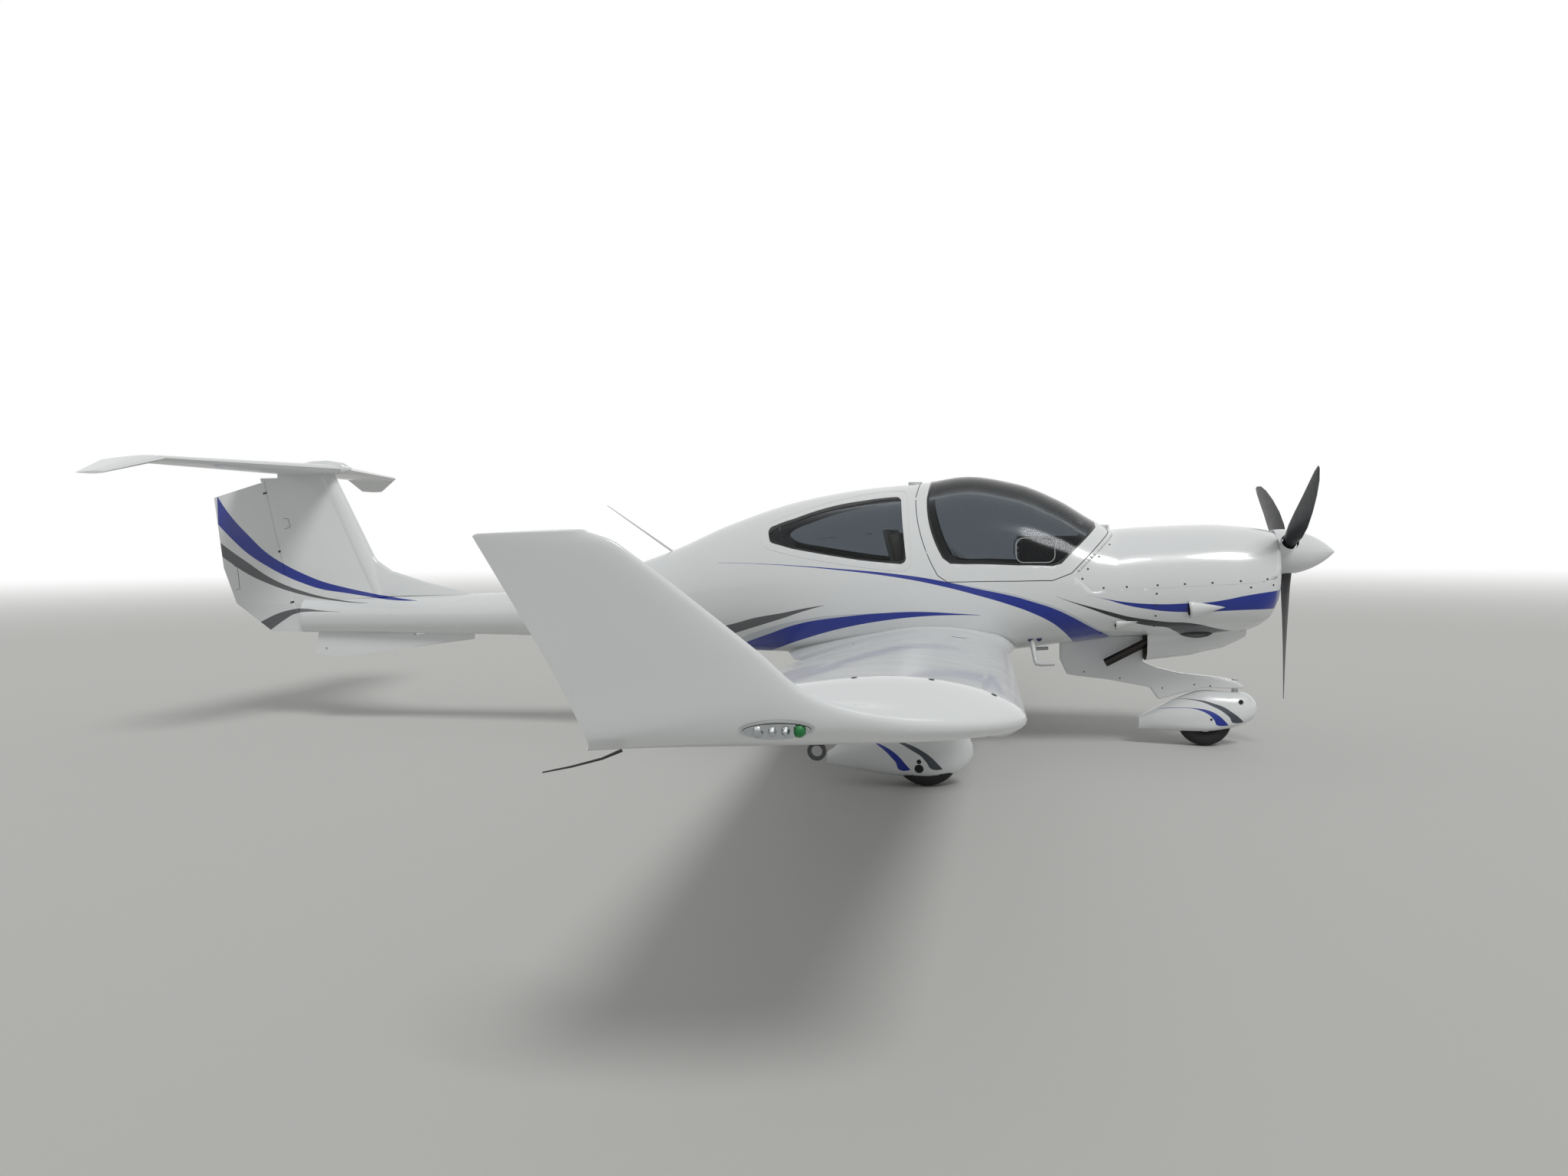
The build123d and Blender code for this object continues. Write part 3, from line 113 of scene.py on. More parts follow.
def fair_line(stations, values, corner=None):
    """A smooth line through the points that never swings past them, broken at a corner."""
    xs, ys = np.array(stations, float), np.array(values, float)
    steps = np.diff(xs)
    slopes = np.diff(ys) / steps
    enter, leave = np.zeros(len(xs)), np.zeros(len(xs))
    enter[0] = leave[0] = slopes[0]
    enter[-1] = leave[-1] = slopes[-1]
    for i in range(1, len(xs) - 1):
        before, after = slopes[i - 1], slopes[i]
        if corner is not None and abs(xs[i] - corner) < 1e-6:
            leave[i], enter[i] = after, before
        elif before * after > 0:
            w1, w2 = 2 * steps[i] + steps[i - 1], steps[i] + 2 * steps[i - 1]
            enter[i] = leave[i] = (w1 + w2) / (w1 / before + w2 / after)

    def line(x):
        x = np.clip(x, xs[0], xs[-1])
        i = np.clip(np.searchsorted(xs, x, side="right") - 1, 0, len(xs) - 2)
        h = steps[i]
        t = (x - xs[i]) / h
        return ((1 + 2 * t) * (1 - t) ** 2 * ys[i] + t * (1 - t) ** 2 * h * leave[i]
                + t * t * (3 - 2 * t) * ys[i + 1] + t * t * (t - 1) * h * enter[i + 1])

    return line


def onto(points, rows, corner):
    """Points near a ruled body moved onto its fair form: exactly if they lie on a skin."""
    columns = list(zip(*rows))
    station = np.clip(half_length - points[:, 0], columns[0][0], columns[0][-1])
    ruled = [np.interp(station, columns[0], column) for column in columns[1:]]
    fair = [fair_line(columns[0], column, corner if k == 0 else None)(station)
            for k, column in enumerate(columns[1:])]
    y = points[:, 1]
    z = points[:, 2] - ruled[3]
    up = z > 0
    high = np.where(up, ruled[0] - ruled[3], ruled[3] - ruled[1])
    fair_high = np.where(up, fair[0] - fair[3], fair[3] - fair[1])
    full = np.where(up, ruled[4], ruled[5])
    fair_full = np.where(up, fair[4], fair[5])
    reach = np.hypot(y, z) + 1e-9
    skin_reach = 0.004
    nearest = np.full(len(points), skin_reach)
    scale = np.ones(len(points))
    for wall in (0.0, thin_wall, sandwich_wall):
        a, b = np.maximum(ruled[2] - wall, 1e-3), np.maximum(high - wall, 1e-3)
        share = (np.abs(y / a) ** full + np.abs(z / b) ** full) ** (-1 / full)
        off = np.abs(share - 1) * reach
        better = off < nearest
        fair_share = (np.abs(y / a) ** fair_full + np.abs(z / b) ** fair_full) ** (-1 / fair_full)
        scale = np.where(better, fair_share, scale)
        nearest = np.where(better, off, nearest)
    moved = points.copy()
    moved[:, 1] = y * scale * fair[2] / ruled[2]
    moved[:, 2] = fair[3] + z * scale * fair_high / high
    return moved


def worked(node, name, material, spacing=None, shape=None, halvings=5, crease=28.0):
    """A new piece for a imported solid: welded, divided finely, shaped and shaded smooth."""
    mesh = nodes[node].data.copy()
    mesh.name = name
    mesh.materials.clear()
    work = bmesh.new()
    work.from_mesh(mesh)
    bmesh.ops.remove_doubles(work, verts=work.verts, dist=5e-5)
    for halving in range(halvings if spacing else 0):
        long_edges = [edge for edge in work.edges if edge.calc_length() > spacing]
        bmesh.ops.subdivide_edges(work, edges=long_edges, cuts=1)
        bmesh.ops.triangulate(work, faces=[face for face in work.faces if len(face.verts) > 3])
    work.to_mesh(mesh)
    work.free()
    if shape:
        points = np.zeros(len(mesh.vertices) * 3)
        mesh.vertices.foreach_get("co", points)
        mesh.vertices.foreach_set("co", shape(points.reshape(-1, 3)).ravel())
        mesh.update()
    if mesh.has_custom_normals:
        mesh.normals_split_custom_set([(0, 0, 0)] * len(mesh.loops))
    mesh.shade_smooth()
    mesh.set_sharp_from_angle(angle=math.radians(crease))
    mesh.materials.append(material)
    piece = bpy.data.objects.new(name, mesh)
    bpy.context.scene.collection.objects.link(piece)
    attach(piece, body_of[node])
    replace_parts(piece, node)
    return piece


# Middle of each hinge knuckle in the shell, as (station, y, height), and how far round it
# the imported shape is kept, so that the lids swing true
knuckles = [(2.850, 0.200, 1.706), (3.230, 0.211, 1.6465),
            (1.420, 0.110, 1.449), (1.420, -0.110, 1.449)]
knuckle_reach = 0.045


def body_form(points):
    """The skin's points moved onto the fair hull, less and less towards a knuckle."""
    near = np.min([np.linalg.norm(points - (half_length - s, y, z), axis=1)
                   for s, y, z in knuckles], axis=0)
    share = np.clip((near - knuckle_reach) / knuckle_reach, 0.0, 1.0)[:, None]
    return points + (onto(points, body_rows, screen_foot) - points) * share


def line_mask(tree, along, height, edge, side, ends, span, blur):
    """1 on one side of a drawn edge: side 1 is below it, side -1 above it. ends and span are
    the first and last places that the edge's curve covers along the body and in height."""
    low_end, high_end = ends
    low, high = span
    share = add(tree, "MapRange", {0: along, 1: low_end, 2: high_end, 3: 0.0, 4: 1.0})
    curve = add(tree, "FloatCurve", {"Value": share.outputs[0]})
    points = curve.mapping.curves[0].points
    placed = [((s - low_end) / (high_end - low_end), (z - low) / (high - low))
              for s, z in sorted(edge)]
    points[0].location, points[1].location = placed[0], placed[-1]
    for location in placed[1:-1]:
        points.new(*location)
    curve.mapping.update()
    level = add(tree, "Math", {0: curve.outputs[0], 1: high - low, 2: low},
                operation="MULTIPLY_ADD")
    gap = add(tree, "Math", {0: level.outputs[0], 1: height}, operation="SUBTRACT")
    return add(tree, "Math", {0: gap.outputs[0], 1: side / blur, 2: 0.5},
               operation="MULTIPLY_ADD", use_clamp=True).outputs[0]


def band_mask(tree, along, height, upper, lower, blur=0.0015, margin=0.02):
    """1 inside a band between an upper and a lower edge of (station, height) points."""
    stations = [s for s, z in upper + lower]
    heights = [z for s, z in upper + lower]
    ends = (min(stations), max(stations))
    span = (min(heights) - margin, max(heights) + margin)
    under = line_mask(tree, along, height, upper, 1, ends, span, blur)
    over = line_mask(tree, along, height, lower, -1, ends, span, blur)
    both = add(tree, "Math", {0: under, 1: over}, operation="MULTIPLY")
    past = add(tree, "Math", {0: along, 1: ends[0]}, operation="GREATER_THAN")
    before = add(tree, "Math", {0: along, 1: ends[1]}, operation="LESS_THAN")
    within = add(tree, "Math", {0: past.outputs[0], 1: before.outputs[0]}, operation="MULTIPLY")
    return add(tree, "Math", {0: both.outputs[0], 1: within.outputs[0]},
               operation="MULTIPLY").outputs[0]


# The gelcoat's two whites, then the paints of the sweeps: a deep, clean blue; a pale grey that
# lies along it like a shadow; a middle grey, whose flakes are too fine to show; and black
gelcoat_white = "#DFE1E1"
gelcoat_shade = "#DADDDE"
royal_blue = "#0E2A90"
shadow_grey = "#C3C8CF"
flake_grey = "#5D6063"
sweep_black = "#26292D"


def spots(tree):
    """Where a point of a piece lies: its place, its station and its height."""
    where = add(tree, "TexCoord").outputs["Object"]
    parts = add(tree, "SeparateXYZ", {0: where})
    along = add(tree, "Math", {0: half_length, 1: parts.outputs[0]}, operation="SUBTRACT")
    return where, along.outputs[0], parts.outputs[2]


def gelcoat(name, bands=()):
    """White polyester gelcoat under clear lacquer, with painted bands as (colour, upper edge,
    lower edge). To the eye it is a hard, nearly white gloss whose reflections bend a little.
    Its shade drifts over 625 mm, the smears of polishing come about 200 mm apart, and the
    waves of the moulding about 71 mm apart and at most 1.5 mm deep."""
    drift_size, smear_size, wave_size, wave_depth = 0.625, 0.200, 0.0714, 0.0015
    material, tree, shader = blank(name)
    where, along, height = spots(tree)
    tone = add(tree, "TexNoise", {"Vector": where, "Scale": 1 / drift_size, "Detail": 2.0})
    colour = add(tree, "Mix", {0: tone.outputs[0], 6: linear(gelcoat_white),
                               7: linear(gelcoat_shade)}, data_type="RGBA").outputs[2]
    for tint, upper, lower in bands:
        mask = band_mask(tree, along, height, upper, lower)
        colour = add(tree, "Mix", {0: mask, 6: colour, 7: linear(tint)},
                     data_type="RGBA").outputs[2]
    tree.links.new(colour, shader.inputs["Base Color"])
    smear = add(tree, "TexNoise", {"Vector": where, "Scale": 1 / smear_size, "Detail": 2.0})
    rough = add(tree, "MapRange", {0: smear.outputs[0], 1: 0.2, 2: 0.8, 3: 0.20, 4: 0.26})
    tree.links.new(rough.outputs[0], shader.inputs["Roughness"])
    wave = add(tree, "TexNoise", {"Vector": where, "Scale": 1 / wave_size, "Detail": 0.0})
    bump = add(tree, "Bump", {"Height": wave.outputs[0], "Strength": 0.12,
                              "Distance": wave_depth})
    tree.links.new(bump.outputs[0], shader.inputs["Normal"])
    shader.inputs["IOR"].default_value = 1.5
    shader.inputs["Coat Weight"].default_value = 0.35
    shader.inputs["Coat Roughness"].default_value = 0.04
    return material


# The painted sweeps, each as an upper and a lower edge of (station, height) points; a long
# one runs from the cowling to the boom, a root one over the wing's root
long_blue = (
    [(1.42, 0.742), (1.55, 0.812), (1.67, 0.880), (1.79, 0.937), (1.905, 0.975), (2.02, 1.009),
     (2.26, 1.061), (2.50, 1.113), (2.72, 1.147), (3.11, 1.184), (3.63, 1.216), (3.98, 1.223)],
    [(1.42, 0.50), (1.56, 0.60), (1.64, 0.695), (1.72, 0.785), (1.79, 0.842), (1.905, 0.902),
     (2.02, 0.947), (2.26, 1.020), (2.50, 1.081), (2.72, 1.124), (3.11, 1.174), (3.63, 1.213),
     (3.98, 1.221)])
long_grey = (
    [(1.40, 0.748), (1.55, 0.826), (1.67, 0.897), (1.79, 0.951), (1.905, 0.988), (2.02, 1.022),
     (2.14, 1.047), (2.26, 1.070), (2.43, 1.101)],
    [(1.40, 0.70), (1.55, 0.80), (1.67, 0.875), (1.79, 0.932), (1.905, 0.970), (2.02, 1.004),
     (2.14, 1.034), (2.26, 1.058), (2.43, 1.100)])
root_blue = (
    [(2.235, 0.892), (2.38, 0.901), (2.62, 0.911), (2.86, 0.900), (3.12, 0.872), (3.38, 0.829),
     (3.66, 0.735), (3.80, 0.683), (3.90, 0.640)],
    [(2.235, 0.890), (2.38, 0.891), (2.62, 0.879), (2.87, 0.847), (3.12, 0.796), (3.39, 0.715),
     (3.54, 0.660), (3.75, 0.571), (3.90, 0.50)])
root_light = (
    [(2.86, 0.903), (3.00, 0.895), (3.12, 0.886), (3.25, 0.874), (3.38, 0.851), (3.51, 0.824),
     (3.65, 0.781), (3.78, 0.735), (3.93, 0.673), (4.10, 0.60)],
    [(2.86, 0.897), (3.12, 0.868), (3.38, 0.825), (3.66, 0.730), (3.80, 0.679), (3.90, 0.636),
     (4.10, 0.54)])
root_grey = (
    [(3.23, 0.949), (3.37, 0.925), (3.50, 0.897), (3.72, 0.855), (3.86, 0.816), (4.02, 0.776),
     (4.20, 0.73)],
    [(3.23, 0.948), (3.41, 0.895), (3.51, 0.860), (3.65, 0.816), (3.88, 0.743), (3.96, 0.717),
     (4.20, 0.60)])
tail_blue = (
    [(6.335, 0.944), (6.49, 0.959), (6.65, 0.981), (6.80, 1.009), (6.94, 1.039), (7.12, 1.083),
     (7.27, 1.137), (7.43, 1.207), (7.59, 1.296), (7.75, 1.430), (7.905, 1.578), (8.03, 1.740)],
    [(6.335, 0.943), (6.49, 0.944), (6.65, 0.956), (6.80, 0.977), (6.94, 0.998), (7.12, 1.023),
     (7.27, 1.064), (7.44, 1.125), (7.59, 1.195), (7.76, 1.291), (7.91, 1.410), (8.03, 1.520)])
tail_grey = (
    [(6.73, 0.925), (6.80, 0.928), (6.96, 0.943), (7.12, 0.968), (7.275, 1.005), (7.44, 1.055),
     (7.60, 1.125), (7.76, 1.221), (7.92, 1.317), (8.03, 1.390)],
    [(6.73, 0.924), (6.80, 0.924), (6.96, 0.934), (7.12, 0.951), (7.28, 0.979), (7.44, 1.017),
     (7.60, 1.068), (7.76, 1.132), (7.91, 1.215), (8.03, 1.290)])
boom_grey = (
    [(6.95, 0.859), (7.12, 0.869), (7.25, 0.881), (7.335, 0.878), (7.42, 0.865), (7.52, 0.839),
     (7.64, 0.792), (7.80, 0.72)],
    [(6.95, 0.857), (7.12, 0.860), (7.28, 0.853), (7.38, 0.834), (7.46, 0.795), (7.56, 0.737),
     (7.80, 0.58)])
nose_blue = (
    [(0.38, 1.045), (0.52, 1.029), (0.64, 1.010), (0.75, 0.987), (0.865, 0.970), (0.985, 0.965),
     (1.09, 0.960), (1.21, 0.962), (1.325, 0.971), (1.46, 0.993), (1.575, 1.020)],
    [(0.38, 0.925), (0.63, 0.922), (0.75, 0.917), (0.86, 0.912), (0.98, 0.910), (1.09, 0.914),
     (1.21, 0.929), (1.32, 0.949), (1.46, 0.989), (1.575, 1.019)])
nose_black = (
    [(0.677, 0.777), (0.78, 0.800), (0.89, 0.828), (0.97, 0.840), (1.08, 0.845), (1.20, 0.860),
     (1.32, 0.880), (1.44, 0.912), (1.555, 0.944), (1.67, 0.977), (1.77, 1.012)],
    [(0.677, 0.776), (0.76, 0.763), (0.815, 0.736), (0.90, 0.728), (1.03, 0.782), (1.08, 0.806),
     (1.195, 0.819), (1.315, 0.848), (1.435, 0.885), (1.555, 0.930), (1.67, 0.972),
     (1.77, 1.011)])
swept_paint = gelcoat("white_gelcoat_with_painted_sweeps", [
    (shadow_grey, *long_grey), (royal_blue, *long_blue), (shadow_grey, *root_light),
    (royal_blue, *root_blue), (flake_grey, *root_grey), (royal_blue, *nose_blue),
    (sweep_black, *nose_black), (royal_blue, *tail_blue), (flake_grey, *tail_grey),
    (flake_grey, *boom_grey)])
fuselage_skin = worked("fuselage_shell", "fuselage_skin", swept_paint, 0.07, body_form)


def finish_of(name, colour, roughness, metallic=0.0, grain=12.5, shade=0.85, bump_height=0.0):
    """A plain finish with a grain: two shades of one colour, its gloss going with them, and a
    bump if it has one. The grain is in millimetres, and the bump's height in metres."""
    material, tree, shader = blank(name)
    where = add(tree, "TexCoord").outputs["Object"]
    tone = add(tree, "TexNoise", {"Vector": where, "Scale": 1000 / grain, "Detail": 3.0})
    low = [part * shade for part in linear(colour)[:3]] + [1.0]
    mix = add(tree, "Mix", {0: tone.outputs[0], 6: low, 7: linear(colour)},
              data_type="RGBA")
    tree.links.new(mix.outputs[2], shader.inputs["Base Color"])
    rough = add(tree, "MapRange", {0: tone.outputs[0], 1: 0.2, 2: 0.8, 3: roughness * 0.85,
                                   4: min(roughness * 1.15, 1.0)})
    tree.links.new(rough.outputs[0], shader.inputs["Roughness"])
    shader.inputs["Metallic"].default_value = metallic
    if bump_height:
        bump = add(tree, "Bump", {"Height": tone.outputs[0], "Strength": 0.5,
                                  "Distance": bump_height})
        tree.links.new(bump.outputs[0], shader.inputs["Normal"])
    return material


def lined(piece, lining, stations):
    """The faces of a shell that look inwards between two stations get a lining instead of
    the outside paint, but not those on the edges near its middle plane."""
    axis_height, edge_band = 1.0, 0.02
    piece.data.materials.append(lining)
    for face in piece.data.polygons:
        x, y, z = face.center
        inward = face.normal.y * y + face.normal.z * (z - axis_height) < 0
        if inward and abs(y) > edge_band and stations[0] < half_length - x < stations[1]:
            face.material_index = 1


# Needled felt glued inside the cabin: soft grey with no shine, its tufts 1.1 mm apart
lining_felt = finish_of("grey_lining_felt", "#8E8C86", roughness=0.95, grain=1.1, shade=0.8,
                        bump_height=0.001)
cabin_stations = (1.0, 3.78)
lined(fuselage_skin, lining_felt, cabin_stations)

# Cowlings. Two thin fibreglass shells round the engine, split along a nearly level seam and
# held by rows of countersunk stainless screws. Small louvres let the cooling air out.

# Bare laminate inside them: dull straw brown, mottled where the glass cloth shows (3.3 mm)
raw_laminate = finish_of("bare_glass_laminate", "#6E6B5E", roughness=0.7, grain=3.3)
cowl_stations = (0.0, 2.78)
for node, name in (("upper_cowling", "upper_cowl_skin"), ("lower_cowling", "lower_cowl_skin")):
    cowl = worked(node, name, swept_paint, 0.05, body_form)
    lined(cowl, raw_laminate, cowl_stations)


def skin_point(rows, station, height, side, middle=0.0, corner=None):
    """The point of a fair skin at a station and height on one side, and the way out there."""
    columns = list(zip(*rows))

    def at(s, z):
        top, bottom, width, waist, full_up, full_low = [
            float(fair_line(columns[0], column, corner if k == 0 else None)(np.array([s]))[0])
            for k, column in enumerate(columns[1:])]
        high, full = (top - waist, full_up) if z > waist else (waist - bottom, full_low)
        share = min(abs(z - waist) / high, 0.999)
        reach = width * (1 - share ** full) ** (1 / full)
        return Vector((half_length - s, side * (middle + reach), z))

    nudge = 0.002
    here = at(station, height)
    out = (at(station + nudge, height) - here).cross(at(station, height + nudge) - here)
    return here, out.normalized() * (1 if out.y * side > 0 else -1)


def wrapped(rings, count):
    """The faces between closed rings of points, each ring joined to the next."""
    return [(r * count + k, r * count + (k + 1) % count, (r + 1) * count + (k + 1) % count,
             (r + 1) * count + k) for r in range(rings) for k in range(count)]


def dome(centre, out, length, width, height, rings=4, segments=20, along=(1, 0, 0)):
    """Vertices and faces of a low oval dome on a surface, its length lying along a direction."""
    out = out.normalized()
    along = Vector(along)
    along = (along - out * along.dot(out)).normalized()
    across = out.cross(along)
    points = []
    for ring in range(rings + 1):
        turn = math.pi / 2 * ring / rings
        for step in range(segments):
            angle = 2 * math.pi * step / segments
            flat = along * (math.cos(angle) * length / 2) + across * (math.sin(angle) * width / 2)
            points.append(centre + flat * math.cos(turn) + out * (height * math.sin(turn)))
    return points, wrapped(rings, segments)


def piece_of(name, parts, material, body, crease=40.0):
    """One mesh piece from lists of vertices and faces, riding on a body."""
    points, faces = [], []
    for part_points, part_faces in parts:
        faces += [[index + len(points) for index in face] for face in part_faces]
        points += [tuple(point) for point in part_points]
    mesh = bpy.data.meshes.new(name)
    mesh.from_pydata(points, [], faces)
    work = bmesh.new()
    work.from_mesh(mesh)
    bmesh.ops.remove_doubles(work, verts=work.verts, dist=1e-5)
    bmesh.ops.recalc_face_normals(work, faces=work.faces)
    work.to_mesh(mesh)
    work.free()
    mesh.shade_smooth()
    mesh.set_sharp_from_angle(angle=math.radians(crease))
    mesh.materials.append(material)
    piece = bpy.data.objects.new(name, mesh)
    bpy.context.scene.collection.objects.link(piece)
    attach(piece, body)
    return piece


def on_hull(station, height, side):
    """The point of the fuselage's own skin at a station and height, and the way out there."""
    return skin_point(body_rows, station, height, side, corner=screen_foot)


# Stainless screws, dulled by weather: dark grey specks in a row
screw_steel = finish_of("stainless_screws", "#4A4C4F", roughness=0.35, metallic=0.9)
screw_size, screw_rise = 0.014, 0.0015
seam_screws = [(0.50, 1.112), (0.662, 1.102), (0.83, 1.092), (0.993, 1.085), (1.155, 1.078),
               (1.34, 1.068), (1.48, 1.062), (1.609, 1.120), (1.575, 1.180), (1.505, 1.255),
               (1.435, 1.330)]
lower_screws = [(1.160, 1.025), (1.160, 0.955), (1.160, 0.885), (1.160, 0.815), (0.46, 1.075),
                (0.60, 1.062)]
heads = []
for side in (1, -1):
    for station, height in seam_screws + lower_screws:
        heads.append(dome(*on_hull(station, height, side), screw_size, screw_size, screw_rise,
                          rings=2, segments=12))
piece_of("cowl_screws", heads, screw_steel, body_of["upper_cowling"])


def louvre(tip, high, low, rise, side, steps=10):
    """A raised three-cornered vent that opens aft: its tip ahead, its mouth between corners."""
    lift = 0.0006
    points, faces = [], []
    for i in range(steps + 1):
        share = i / steps
        for j in range(steps + 1):
            cross = j / steps
            station = tip[0] + (high[0] + (low[0] - high[0]) * cross - tip[0]) * share
            height = tip[1] + (high[1] + (low[1] - high[1]) * cross - tip[1]) * share
            point, out = on_hull(station, height, side)
            swell = share ** 1.4 * math.sin(math.pi * cross) ** 0.6
            points.append(point + out * (rise * swell + lift))
    for i in range(steps):
        for j in range(steps):
            corner = i * (steps + 1) + j
            faces.append((corner, corner + 1, corner + steps + 2, corner + steps + 1))
    return points, faces


def walled(piece, thickness, offset=-1.0):
    """A skin given its wall, so that its edges show as a moulding's do; offset 1 is outwards."""
    wall = piece.modifiers.new("wall", "SOLIDIFY")
    wall.thickness = thickness
    wall.offset = offset
    return piece


plain_paint = gelcoat("white_gelcoat")
# Painted shade: a flat black patch without a shine stands for the deep shade inside an opening
painted_hole_shade = finish_of("shadowed_mouth", "#0B0C0D", roughness=0.9)
mouth_rise = 0.0012
vents, mouths = [], []
for side in (1, -1):
    for tip, high, low, rise in (((0.748, 0.941), (0.972, 0.982), (0.955, 0.873), 0.034),
                                 ((1.262, 0.849), (1.400, 0.852), (1.397, 0.797), 0.022)):
        vents.append(louvre(tip, high, low, rise, side))
    # Black patches of painted shade where the louvres' mouths open
    for station, height, length, width in ((0.960, 0.928, 0.022, 0.088),
                                           (1.396, 0.823, 0.016, 0.040)):
        mouths.append(dome(*on_hull(station, height, side), length, width, mouth_rise,
                           rings=2))
louvres = piece_of("cooling_louvres", vents, plain_paint, body_of["lower_cowling"])
walled(louvres, 0.002, offset=1.0)
piece_of("louvre_mouth_shade", mouths, painted_hole_shade, body_of["lower_cowling"])

# Canopy, rear door and rear window. Blown smoke-tinted acrylic sheets, bonded with a black
# border into moulded frames. The canopy lifts forward, the door swings up from the roof.


def smoked(name, upper, lower, rear=None):
    """Cast acrylic with a smoke tint and a painted black border outside the clear outline. To
    the eye it is a thin dark sheet: the cabin shows through it, greyed, and the sky lies on it
    as a soft film that grows stronger at a glancing angle. It is too thin to bend light."""
    edge_blur = 0.003
    material, tree, shader = blank(name)
    shader.inputs["Base Color"].default_value = linear("#0C0D0E")
    shader.inputs["Roughness"].default_value = 0.25
    shader.inputs["IOR"].default_value = 1.49
    where, along, height = spots(tree)
    clear = band_mask(tree, along, height, upper, lower, edge_blur)
    if rear:
        heights = [z for s, z in rear]
        stations = [s for s, z in rear]
        span = (min(stations) - 0.1, max(stations) + 0.1)
        ahead = line_mask(tree, height, along, [(z, s) for s, z in rear], 1,
                          (min(heights), max(heights)), span, edge_blur)
        clear = add(tree, "Math", {0: clear, 1: ahead}, operation="MULTIPLY").outputs[0]
    tint = add(tree, "BsdfTransparent", {"Color": linear("#BDC1C4")})
    film = add(tree, "BsdfGlossy", {"Color": linear("#FFFFFF"), "Roughness": 0.12})
    angle = add(tree, "Fresnel", {"IOR": 1.25})
    sheet = add(tree, "MixShader", {0: angle.outputs[0], 1: tint.outputs[0], 2: film.outputs[0]})
    both = add(tree, "MixShader", {0: clear, 1: shader.outputs[0], 2: sheet.outputs[0]})
    tree.links.new(both.outputs[0], tree.nodes["Material Output"].inputs["Surface"])
    return material


canopy_clear = smoked(
    "smoke_tinted_canopy_acrylic",
    [(1.44, 1.90), (2.60, 1.90)],
    [(1.44, 1.522), (1.54, 1.428), (1.66, 1.306), (1.75, 1.230), (1.80, 1.212), (1.90, 1.213),
     (2.15, 1.222), (2.40, 1.230), (2.43, 1.240), (2.60, 1.250)],
    [(2.432, 1.200), (2.458, 1.260), (2.494, 1.330), (2.527, 1.420), (2.557, 1.540),
     (2.568, 1.640), (2.532, 1.800)])
window_clear = smoked(
    "smoke_tinted_window_acrylic",
    [(2.712, 1.300), (2.730, 1.560), (2.752, 1.632), (2.790, 1.636), (3.000, 1.608),
     (3.240, 1.562), (3.450, 1.496), (3.590, 1.440), (3.622, 1.410)],
    [(2.712, 1.262), (2.730, 1.236), (2.760, 1.234), (3.000, 1.252), (3.160, 1.276),
     (3.400, 1.318), (3.580, 1.358), (3.622, 1.395)])
for node, name, material, spacing, slot in (
    ("canopy_frame", "canopy_frame_moulding", plain_paint, 0.05, "white_gelcoat"),
    ("canopy_glass", "canopy_sheet", canopy_clear, 0.04, "smoked_acrylic"),
    ("rear_door_panel", "rear_door_skin", swept_paint, 0.05, "white_gelcoat"),
    ("rear_door_window", "rear_door_pane", window_clear, 0.05, "smoked_acrylic"),
    ("rear_window", "rear_side_pane", window_clear, 0.05, "smoked_acrylic"),
):
    worked(node, name, material, spacing, body_form)


def tube(path, radius, segments=10, closed=False):
    """Vertices and faces of a round bar along a path of points, capped if it is open."""
    path = [Vector(point) for point in path]
    count = len(path)
    points, faces = [], []
    for i, here in enumerate(path):
        before = path[(i - 1) % count] if closed or i else here
        after = path[(i + 1) % count] if closed or i < count - 1 else here
        along = (after - before).normalized()
        last = across = (last - along * last.dot(along) if i else along.orthogonal()).normalized()
        other = along.cross(across)
        wide = radius[i] if isinstance(radius, (list, tuple)) else radius
        for k in range(segments):
            angle = 2 * math.pi * k / segments
            points.append(here + (across * math.cos(angle) + other * math.sin(angle)) * wide)
    for i in range(count if closed else count - 1):
        for k in range(segments):
            j = (i + 1) % count
            faces.append((i * segments + k, i * segments + (k + 1) % segments,
                          j * segments + (k + 1) % segments, j * segments + k))
    if not closed:
        faces.append(tuple(range(segments))[::-1])
        faces.append(tuple(range((count - 1) * segments, count * segments)))
    return points, faces


def round_box(station_from, station_to, low, high, radius, steps=6):
    """The (station, height) points of a rectangle with round corners."""
    points = []
    for cs, cz, start in ((station_to - radius, high - radius, 0),
                          (station_from + radius, high - radius, 90),
                          (station_from + radius, low + radius, 180),
                          (station_to - radius, low + radius, 270)):
        for k in range(steps + 1):
            turn = math.radians(start + 90 * k / steps)
            points.append((cs + radius * math.cos(turn), cz + radius * math.sin(turn)))
    return points


def rounded_line(corners, steps=6):
    """The points of a smooth closed line through corners: a Catmull-Rom spline."""
    rim = [corners[-1]] + corners + corners[:2]
    line = []
    for k in range(1, len(rim) - 2):
        before, here, after, beyond = [Vector(point) for point in rim[k - 1:k + 3]]
        for step in range(steps):
            share = step / steps
            line.append(0.5 * (2 * here + (after - before) * share
                               + (2 * before - 5 * here + 4 * after - beyond) * share ** 2
                               + (3 * here - before - 3 * after + beyond) * share ** 3))
    return line


def bead_on_hull(outline, side, radius, segments):
    """A thin closed bead that lies on the fuselage's skin along (station, height) points."""
    return tube([on_hull(s, z, side)[0] for s, z in outline], radius, segments, closed=True)


lined(bpy.data.objects["rear_door_skin"], lining_felt, cabin_stations)
